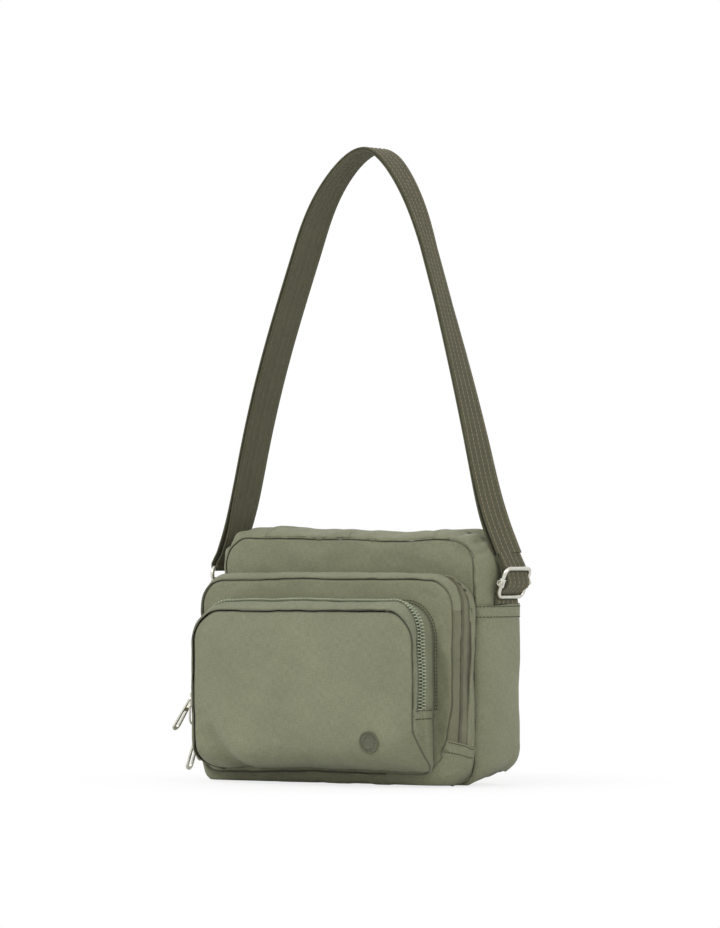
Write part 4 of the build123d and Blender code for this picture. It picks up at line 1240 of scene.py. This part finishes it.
def smooth_curve(knots, count=600):
    """Natural cubic spline through a few points, by chord length."""
    t = run_length(knots)
    h = np.diff(t)
    n = len(knots)
    system, right = np.zeros((n, n)), np.zeros((n, 2))
    system[0, 0] = system[-1, -1] = 1
    for i in range(1, n - 1):
        system[i, i - 1: i + 2] = h[i - 1], 2 * (h[i - 1] + h[i]), h[i]
        right[i] = 6 * ((knots[i + 1] - knots[i]) / h[i] - (knots[i] - knots[i - 1]) / h[i - 1])
    bend = np.linalg.solve(system, right)
    at = np.linspace(0, t[-1], count)
    k = np.clip(np.searchsorted(t, at, side="right") - 1, 0, n - 2)
    a, b = ((t[k + 1] - at) / h[k])[:, None], ((at - t[k]) / h[k])[:, None]
    wave = ((a**3 - a) * bend[k] + (b**3 - b) * bend[k + 1]) * (h[k] ** 2)[:, None] / 6
    return a * knots[k] + b * knots[k + 1] + wave


def bent(points, radii, step=0.6):
    """Straight runs joined by arcs, as close points."""
    points = [np.array(p, float) for p in points]
    path = [points[0]]
    for before, corner, after, radius in zip(points, points[1:], points[2:], radii):
        one, two = unit(before - corner), unit(after - corner)
        angle = np.arccos(np.clip(one @ two, -1, 1))
        if angle > pi - 0.02:
            continue
        cut = radius / np.tan(angle / 2)
        centre = corner + unit(one + two) * radius / np.sin(angle / 2)
        start, stop = corner + one * cut - centre, corner + two * cut - centre
        count = max(int((pi - angle) * radius / step), 5)
        for share in np.linspace(0, 1, count + 1):
            turn = (pi - angle) * share
            arm = np.sin(pi - angle - turn) * start + np.sin(turn) * stop
            path.append(centre + arm / np.sin(pi - angle))
    path.append(points[-1])
    path = np.array(path)
    length = run_length(path)
    at = np.linspace(0, length[-1], int(length[-1] / step) + 2)
    return np.stack([np.interp(at, length, path[:, k]) for k in (0, 1)], -1)


route = smooth_curve(leg_shape * (SWING_X, STRAP_TOP - PIVOT) + (0, PIVOT))
route_run = unit(np.gradient(route, axis=0))
route_out = np.stack([route_run[:, 1], -route_run[:, 0]], -1)
route_share = np.linspace(0, 1, len(route))
half_web = WEB_WIDTH / 2
EDGE_ROUND = WEB / 2
flat_y = np.linspace(1, -1, 19) * (half_web - EDGE_ROUND)
edge_turn = np.linspace(0, pi, 7)[1:-1]
section = np.concatenate([
    np.stack([flat_y, np.full(19, EDGE_ROUND)], -1),
    np.stack([-half_web + EDGE_ROUND - EDGE_ROUND * np.sin(edge_turn), EDGE_ROUND * np.cos(edge_turn)], -1),
    np.stack([flat_y[::-1], np.full(19, -EDGE_ROUND)], -1),
    np.stack([half_web - EDGE_ROUND + EDGE_ROUND * np.sin(edge_turn), -EDGE_ROUND * np.cos(edge_turn)], -1),
])
section_run = run_length(np.vstack([section, section[:1]]))


def ribbon(name, path, node, body="strap", twist=None):
    """Webbing along a path in XZ, its outer side to the right of the way it runs."""
    run = unit(np.gradient(path, axis=0))
    out = np.stack([run[:, 1], -run[:, 0]], -1)
    turn = np.zeros(len(path)) if twist is None else twist
    y = section[None, :, 0] * np.cos(turn)[:, None] - section[None, :, 1] * np.sin(turn)[:, None]
    n = section[None, :, 0] * np.sin(turn)[:, None] + section[None, :, 1] * np.cos(turn)[:, None]
    verts = np.stack([path[:, None, 0] + out[:, None, 0] * n, y, path[:, None, 1] + out[:, None, 1] * n], -1)
    rows, cols = verts.shape[:2]
    length = run_length(path)
    faces, corners = [], []
    for row in range(rows - 1):
        for col in range(cols):
            here, after = row * cols, (row + 1) * cols
            faces.append((here + col, after + col, after + (col + 1) % cols, here + (col + 1) % cols))
            near, far = section_run[col], section_run[col + 1]
            begin, end = length[row], length[row + 1]
            corners += [(begin, near), (end, near), (end, far), (begin, far)]
    faces += [tuple(range(cols))[::-1], tuple(range((rows - 1) * cols, rows * cols))]
    corners += [*section[::-1], *section]
    piece = finish_mesh(name, verts.reshape(-1, 3), faces, WEBBING, np.array(corners) * MM)
    attach(piece, node, body)
    return path, out, turn


STITCH_ROWS, ROW_GAP = 5, 6.6


def strap_rows(name, laid, face, body="strap", thread=STRAP_THREAD):
    """Long rows of stitches on one face of a ribbon."""
    path, out, turn = laid
    off = face * EDGE_ROUND
    ups = np.stack([out[:, 0] * np.cos(turn), -np.sin(turn), out[:, 1] * np.cos(turn)], -1) * face
    for number in range(STITCH_ROWS):
        y = (number - STITCH_ROWS // 2) * ROW_GAP
        stand = y * np.sin(turn) + off * np.cos(turn)
        aside = y * np.cos(turn) - off * np.sin(turn)
        spots = np.stack([path[:, 0] + out[:, 0] * stand, aside, path[:, 1] + out[:, 1] * stand], -1)
        row = stitch_row(f"{name}_stitches_{number + 1}", spots, ups, thread, 3.6, 1.35, 0.02)
        attach(row, where=body)


def ramp(value, start, stop):
    """Smooth rise from 0 to 1."""
    share = np.clip((value - start) / (stop - start), 0, 1)
    return share * share * (3 - 2 * share)


turns_at, turns = [0, 0.05, 0.12, 0.20, 0.29, 0.36, 0.41, 0.47], [6, 6, 3, -3, -10, -11, -6, 0]
twist = np.interp(route_share, turns_at, np.radians(turns))
twist -= radians(8) * ramp(route_share, 0.52, 0.64) * (1 - ramp(route_share, 0.93, 0.995))
open_low = 1 - ramp(route_share, 0.0, 0.12)
open_left = 0.25 * ramp(route_share, 0.52, 0.66) + 0.75 * ramp(route_share, 0.93, 0.995)
outer_path = route + route_out * (PITCH / 2 + 0.6 * open_low + 1.6 * open_left)[:, None]
inner_path = route - route_out * (PITCH / 2 + PITCH * open_low + 1.6 * open_left)[:, None]
outer = ribbon("strap_outer_webbing", outer_path, "strap_outer_ply", twist=twist)
inner = ribbon("strap_inner_webbing", inner_path, "strap_inner_ply", twist=twist)
strap_rows("strap_outer", outer, 1)
strap_rows("strap_inner", inner, -1, thread=INNER_THREAD)


def carried(at, shift, beyond=0.0):
    """Point to the right of one end of the route, past it by a distance if wanted."""
    return route[at] + route_out[at] * shift + route_run[at] * beyond


def carried_end(at, shift):
    """Two points that carry a ply on past the end of the route."""
    side_of = -1 if at == 0 else 1
    return [carried(at, shift, side_of * 0.1), carried(at, shift, side_of * 3.0)]


slider_at = ((bar_low_corner + bar_high_corner) / 2)[[0, 2]] - (INBOARD + 1, 0)
lean = radians(21)
FRAME_HALF = WEB_WIDTH / 2 + 2.2
slider_up, slider_out = np.array([sin(lean), cos(lean)]), np.array([cos(lean), -sin(lean)])
HALF_PITCH, FRAME_WIRE, BAR_WIRE, PEAK = 12.3, 3.5, 3.0, 5.5
bar_pass = FRAME_WIRE / 2 + WEB / 2 + 3 * PLAY
wrap = BAR_WIRE / 2 + PLAY + WEB / 2


def at_slider(along, outward):
    """Point of the strap's plane measured from the slider's bar."""
    return slider_at + slider_up * along + slider_out * outward


hang_x = SWING_X - INBOARD
threaded = bent(
    [(hang_x, LAP_BASE), (hang_x, PIVOT - 3), at_slider(-HALF_PITCH, -bar_pass), at_slider(0, PEAK),
     at_slider(HALF_PITCH, -bar_pass), *reversed(carried_end(0, PITCH / 2 + 0.6))],
    [3.0, 3.0, 5.0, 3.0, 3.0])
threaded_run = ribbon("strap_threaded_webbing", threaded, "strap_threaded_run")
strap_rows("strap_threaded", threaded_run, 1)
cross = unit(np.array([HALF_PITCH, -(PEAK + bar_pass)]))
return_at_wrap = (wrap - cross[1] * wrap) / cross[0]
return_at_bar = (wrap + cross[1] * HALF_PITCH) / cross[0]
inner_at_bar = return_at_bar - PITCH - 2 * PLAY
looped = bent(
    [*carried_end(0, -3 * PITCH / 2), at_slider(HALF_PITCH, inner_at_bar), at_slider(wrap + 1.0, -wrap),
     at_slider(-wrap, -wrap), at_slider(-wrap, return_at_wrap),
     at_slider(HALF_PITCH, return_at_bar), *reversed(carried_end(0, -PITCH / 2))],
    [3.0, 3.0, 1.0, wrap - 0.05, wrap - 0.05, 3.0, 3.0])
ribbon("strap_slider_webbing", looped, "strap_slider_loop")
for side_name, side in sides.items():
    stand = ANCHOR_X - (INBOARD if side > 0 else 0)
    over_hem = [(SEWN_X - 1, HEM_TOP - 20), (SEWN_X - 1, HEM_TOP + 0.5),
                (stand, HEM_TOP + 3.6), (stand, LAP_TOP + 1)]
    path = bent(over_hem, [4.0, 2.2]) * (side, 1)
    if side < 0:
        path = path[::-1]
    sewn = ribbon(f"strap_anchor_webbing_{side_name}", path, f"strap_anchor_{side_name}", "main_bag")
    strap_rows(f"strap_anchor_{side_name}", sewn, 1, "main_bag")

ring_at = ((ring_low + ring_high) / 2)[[0, 2]]
ring_pass = 3.0 / 2 + PLAY + WEB / 2
ring_upper, ring_lower = ring_high[2] - 1.5, ring_low[2] + 1.5
outside, inside = ring_at[0] - ring_pass, ring_at[0] + ring_pass
loop_points = [
    *carried_end(-1, PITCH / 2 + 1.6), (outside, ring_upper + 3), (outside, ring_upper - ring_pass),
    (inside, ring_upper - ring_pass), (inside, ring_upper + 3), *reversed(carried_end(-1, -PITCH / 2 - 1.6))]
loop_path = bent(loop_points, [2.0, 2.0, ring_pass - 0.05, ring_pass - 0.05, 2.0, 2.0])
ribbon("strap_ring_webbing", loop_path, "strap_ring_loop")
tab_points = [
    (-SWING_X, LAP_BASE), (-SWING_X, ring_lower + ring_pass), (outside, ring_lower + ring_pass),
    (outside, ring_lower - 2), (-SWING_X - PITCH, ring_lower - 6), (-SWING_X - PITCH, LAP_BASE)]
ribbon("left_ring_webbing", bent(tab_points, [ring_pass - 0.05, ring_pass - 0.05, 1.0, 2.0]), "left_ring_tab")

# ------------------------------------------------------------------ metal hardware
def shifted_metal(node, body, shift, lean=0.0):
    """The node's own form, moved to where the dressed cloth lies and leant about its top."""
    form = frame["nodes"][node].data.copy()
    low, high = box_mm(node)
    hinge = (high[0] - 1.5, high[2] - 1.5)
    for vertex in form.vertices:
        x, z = vertex.co.x / MM - hinge[0], vertex.co.z / MM - hinge[1]
        vertex.co.x = (hinge[0] + x * cos(lean) + z * sin(lean) + shift[0]) * MM
        vertex.co.z = (hinge[1] - x * sin(lean) + z * cos(lean) + shift[1]) * MM
    form.materials.clear()
    form.materials.append(METAL)
    metal = bpy.data.objects.new(f"{node}_metal", form)
    bpy.context.scene.collection.objects.link(metal)
    attach(metal, node, body)


shifted_metal("main_zip_slider", "main_slider", (0, -TROUGH))
shifted_metal("main_zip_pull", "main_pull", (0, -TROUGH))
shifted_metal("pocket_zip_slider", "pocket_slider", (-4.5, -1.0))
shifted_metal("pocket_zip_loop", "pocket_loop", (-4.5, -1.0))
shifted_metal("pocket_zip_pull", "pocket_pull", (-5.5, -2.0), radians(7))
shifted_metal("middle_zip_slider", "middle_slider", (-4.5, -2.0))
shifted_metal("middle_zip_loop", "middle_loop", (-5.0, -2.0))
shifted_metal("middle_zip_pull", "middle_pull", (-7.0, -2.5), radians(-9))


WIRE_SIDES = 14


def wire(name, path, radius, node="", closed=True):
    """Round metal wire along a path of points in millimetres."""
    path = np.asarray(path, float)
    if closed:
        run = unit(np.roll(path, -1, 0) - np.roll(path, 1, 0))
    else:
        run = unit(np.gradient(path, axis=0))
    across = np.broadcast_to([slider_out[0], 0.0, slider_out[1]], path.shape)
    across = unit(across - (across * run).sum(-1)[:, None] * run)
    third = np.cross(run, across)
    angle = 2 * pi * np.arange(WIRE_SIDES)[None, :, None] / WIRE_SIDES
    spots = path[:, None] + radius * (np.cos(angle) * across[:, None] + np.sin(angle) * third[:, None])
    if closed:
        spots = np.concatenate([spots, spots[:1]])
    piece = grid_piece(name, spots, METAL, True)
    if not closed:
        fill = piece.modifiers.new("ends", "SOLIDIFY")
        fill.thickness = 0.4 * MM
    attach(piece, node, "strap")


def on_slider(across, along, outward=0.0):
    """Point of the slider's plane in millimetres."""
    spot = at_slider(along, outward)
    return np.array([spot[0], across, spot[1]])


def rounded_loop(half_across, half_along, radius, count=10):
    """Rectangle with round corners, from its upper right corner on."""
    loop = []
    for quarter, (a, b) in enumerate(((1, 1), (-1, 1), (-1, -1), (1, -1))):
        for turn in np.linspace(0, pi / 2, count) + quarter * pi / 2:
            x, y = a * (half_across - radius), b * (half_along - radius)
            loop.append((x + radius * cos(turn), y + radius * sin(turn)))
    return loop


ring_loop = [(ring_at[0] + 0.8, a, ring_at[1] + b) for a, b in rounded_loop(19.6, 6.4, 6.3, 16)]
wire("left_ring_metal", ring_loop, 1.7, "left_ring")
frame_loop = [on_slider(a, b) for a, b in rounded_loop(FRAME_HALF, HALF_PITCH, 5.0)]
wire("slider_frame_metal", frame_loop, FRAME_WIRE / 2, "strap_slider_frame")
bar = [on_slider(y, 0) for y in np.linspace(-FRAME_HALF, FRAME_HALF, 20)]
wire("slider_bar_metal", bar, BAR_WIRE / 2, "strap_slider_bar", closed=False)
for side_name, side in sides.items():
    sleeve = [on_slider(side * FRAME_HALF, b) for b in np.linspace(-3.6, 3.6, 12)]
    wire(f"slider_sleeve_{side_name}", sleeve, 2.5, closed=False)
    stub = [on_slider(side * (FRAME_HALF + a), 0) for a in np.linspace(1.5, 4.2, 6)]
    wire(f"slider_stub_{side_name}", stub, 1.9, closed=False)

# ------------------------------------------------------------------ studio
FLOOR_RADIUS, FLOOR_Z, FLOOR_SIDES = 7.0, -0.0004, 96


def studio_floor():
    """White floor that keeps only a soft shadow near the bag."""
    s = Shade("studio floor", 0.9)
    tree = s.tree
    s.shader.inputs["Base Color"].default_value = (0.9, 0.9, 0.9, 1)
    s.shader.inputs["Specular IOR Level"].default_value = 0.0
    glow = s.add("ShaderNodeEmission", {"Color": (1, 1, 1, 1), "Strength": 1.0})
    spot = s.add("ShaderNodeTexCoord").outputs["Object"]
    away = s.add("ShaderNodeVectorMath", {0: spot}, operation="LENGTH").outputs["Value"]
    pale = s.span(away, 0.10, 0.27, 0.78, 1.0)
    rays = s.add("ShaderNodeLightPath").outputs["Is Camera Ray"]
    share = s.math("MULTIPLY", pale, rays)
    mix = s.add("ShaderNodeMixShader", {0: share, 1: s.shader.outputs[0], 2: glow.outputs[0]})
    tree.links.new(mix.outputs[0], tree.nodes["Material Output"].inputs["Surface"])
    return s.material


angles = [2 * pi * k / FLOOR_SIDES for k in range(FLOOR_SIDES)]
rim = [(FLOOR_RADIUS * cos(angle), FLOOR_RADIUS * sin(angle), FLOOR_Z) for angle in angles]
floor_mesh = bpy.data.meshes.new("floor")
floor_mesh.from_pydata(rim, [], [tuple(range(FLOOR_SIDES))])
floor_mesh.materials.append(studio_floor())
floor = bpy.data.objects.new("floor", floor_mesh)
bpy.context.scene.collection.objects.link(floor)

world = bpy.data.worlds.new("studio")
world.use_nodes = True
bpy.context.scene.world = world
nodes, links = world.node_tree.nodes, world.node_tree.links
rays = nodes.new("ShaderNodeLightPath")
plain = nodes["Background"]
plain.inputs["Color"].default_value = (1, 1, 1, 1)
plain.inputs["Strength"].default_value = 1.0
lit = nodes.new("ShaderNodeBackground")
lit.inputs["Color"].default_value = (1, 1, 1, 1)
lit.inputs["Strength"].default_value = 0.66
share = rays.outputs["Is Camera Ray"]
for kind in ("Is Glossy Ray", "Is Transmission Ray"):
    either = nodes.new("ShaderNodeMath")
    either.operation = "MAXIMUM"
    links.new(share, either.inputs[0])
    links.new(rays.outputs[kind], either.inputs[1])
    share = either.outputs[0]
choose = nodes.new("ShaderNodeMixShader")
for number, output in enumerate((share, lit.outputs[0], plain.outputs[0])):
    links.new(output, choose.inputs[number])
links.new(choose.outputs[0], nodes["World Output"].inputs["Surface"])


def aim(thing, target):
    """Turn a lamp or camera so that its -Z looks at a point."""
    direction = Vector(target) - thing.location
    thing.rotation_euler = direction.to_track_quat("-Z", "Y").to_euler()


def lamp(name, place, target, size, power):
    """Round soft lamp turned towards a point."""
    light = bpy.data.lights.new(name, "AREA")
    light.shape = "DISK"
    light.size = size
    light.energy = power
    thing = bpy.data.objects.new(name, light)
    thing.location = place
    bpy.context.scene.collection.objects.link(thing)
    aim(thing, target)


lamp("key light", (-0.9, -2.2, 2.3), (0, 0, 0.15), 1.6, 30)
lamp("side light", (2.6, -0.9, 1.5), (0, 0, 0.15), 1.4, 18)
lamp("back light", (-1.6, 1.9, 2.0), (0, 0, 0.2), 1.4, 14)

scene = bpy.context.scene
scene.view_settings.view_transform = "Standard"
camera = bpy.data.cameras.new("camera")
camera.lens = 209.5
viewer = bpy.data.objects.new("camera", camera)
scene.collection.objects.link(viewer)
AZIMUTH, DISTANCE, HEIGHT, LOOK_AT, ASIDE = radians(34.2), 4.5, 0.205, 0.2642, -0.0079
viewer.location = (DISTANCE * sin(AZIMUTH), -DISTANCE * cos(AZIMUTH), HEIGHT)
aim(viewer, (ASIDE * cos(AZIMUTH), ASIDE * sin(AZIMUTH), LOOK_AT))
scene.camera = viewer

bpy.context.view_layer.update()
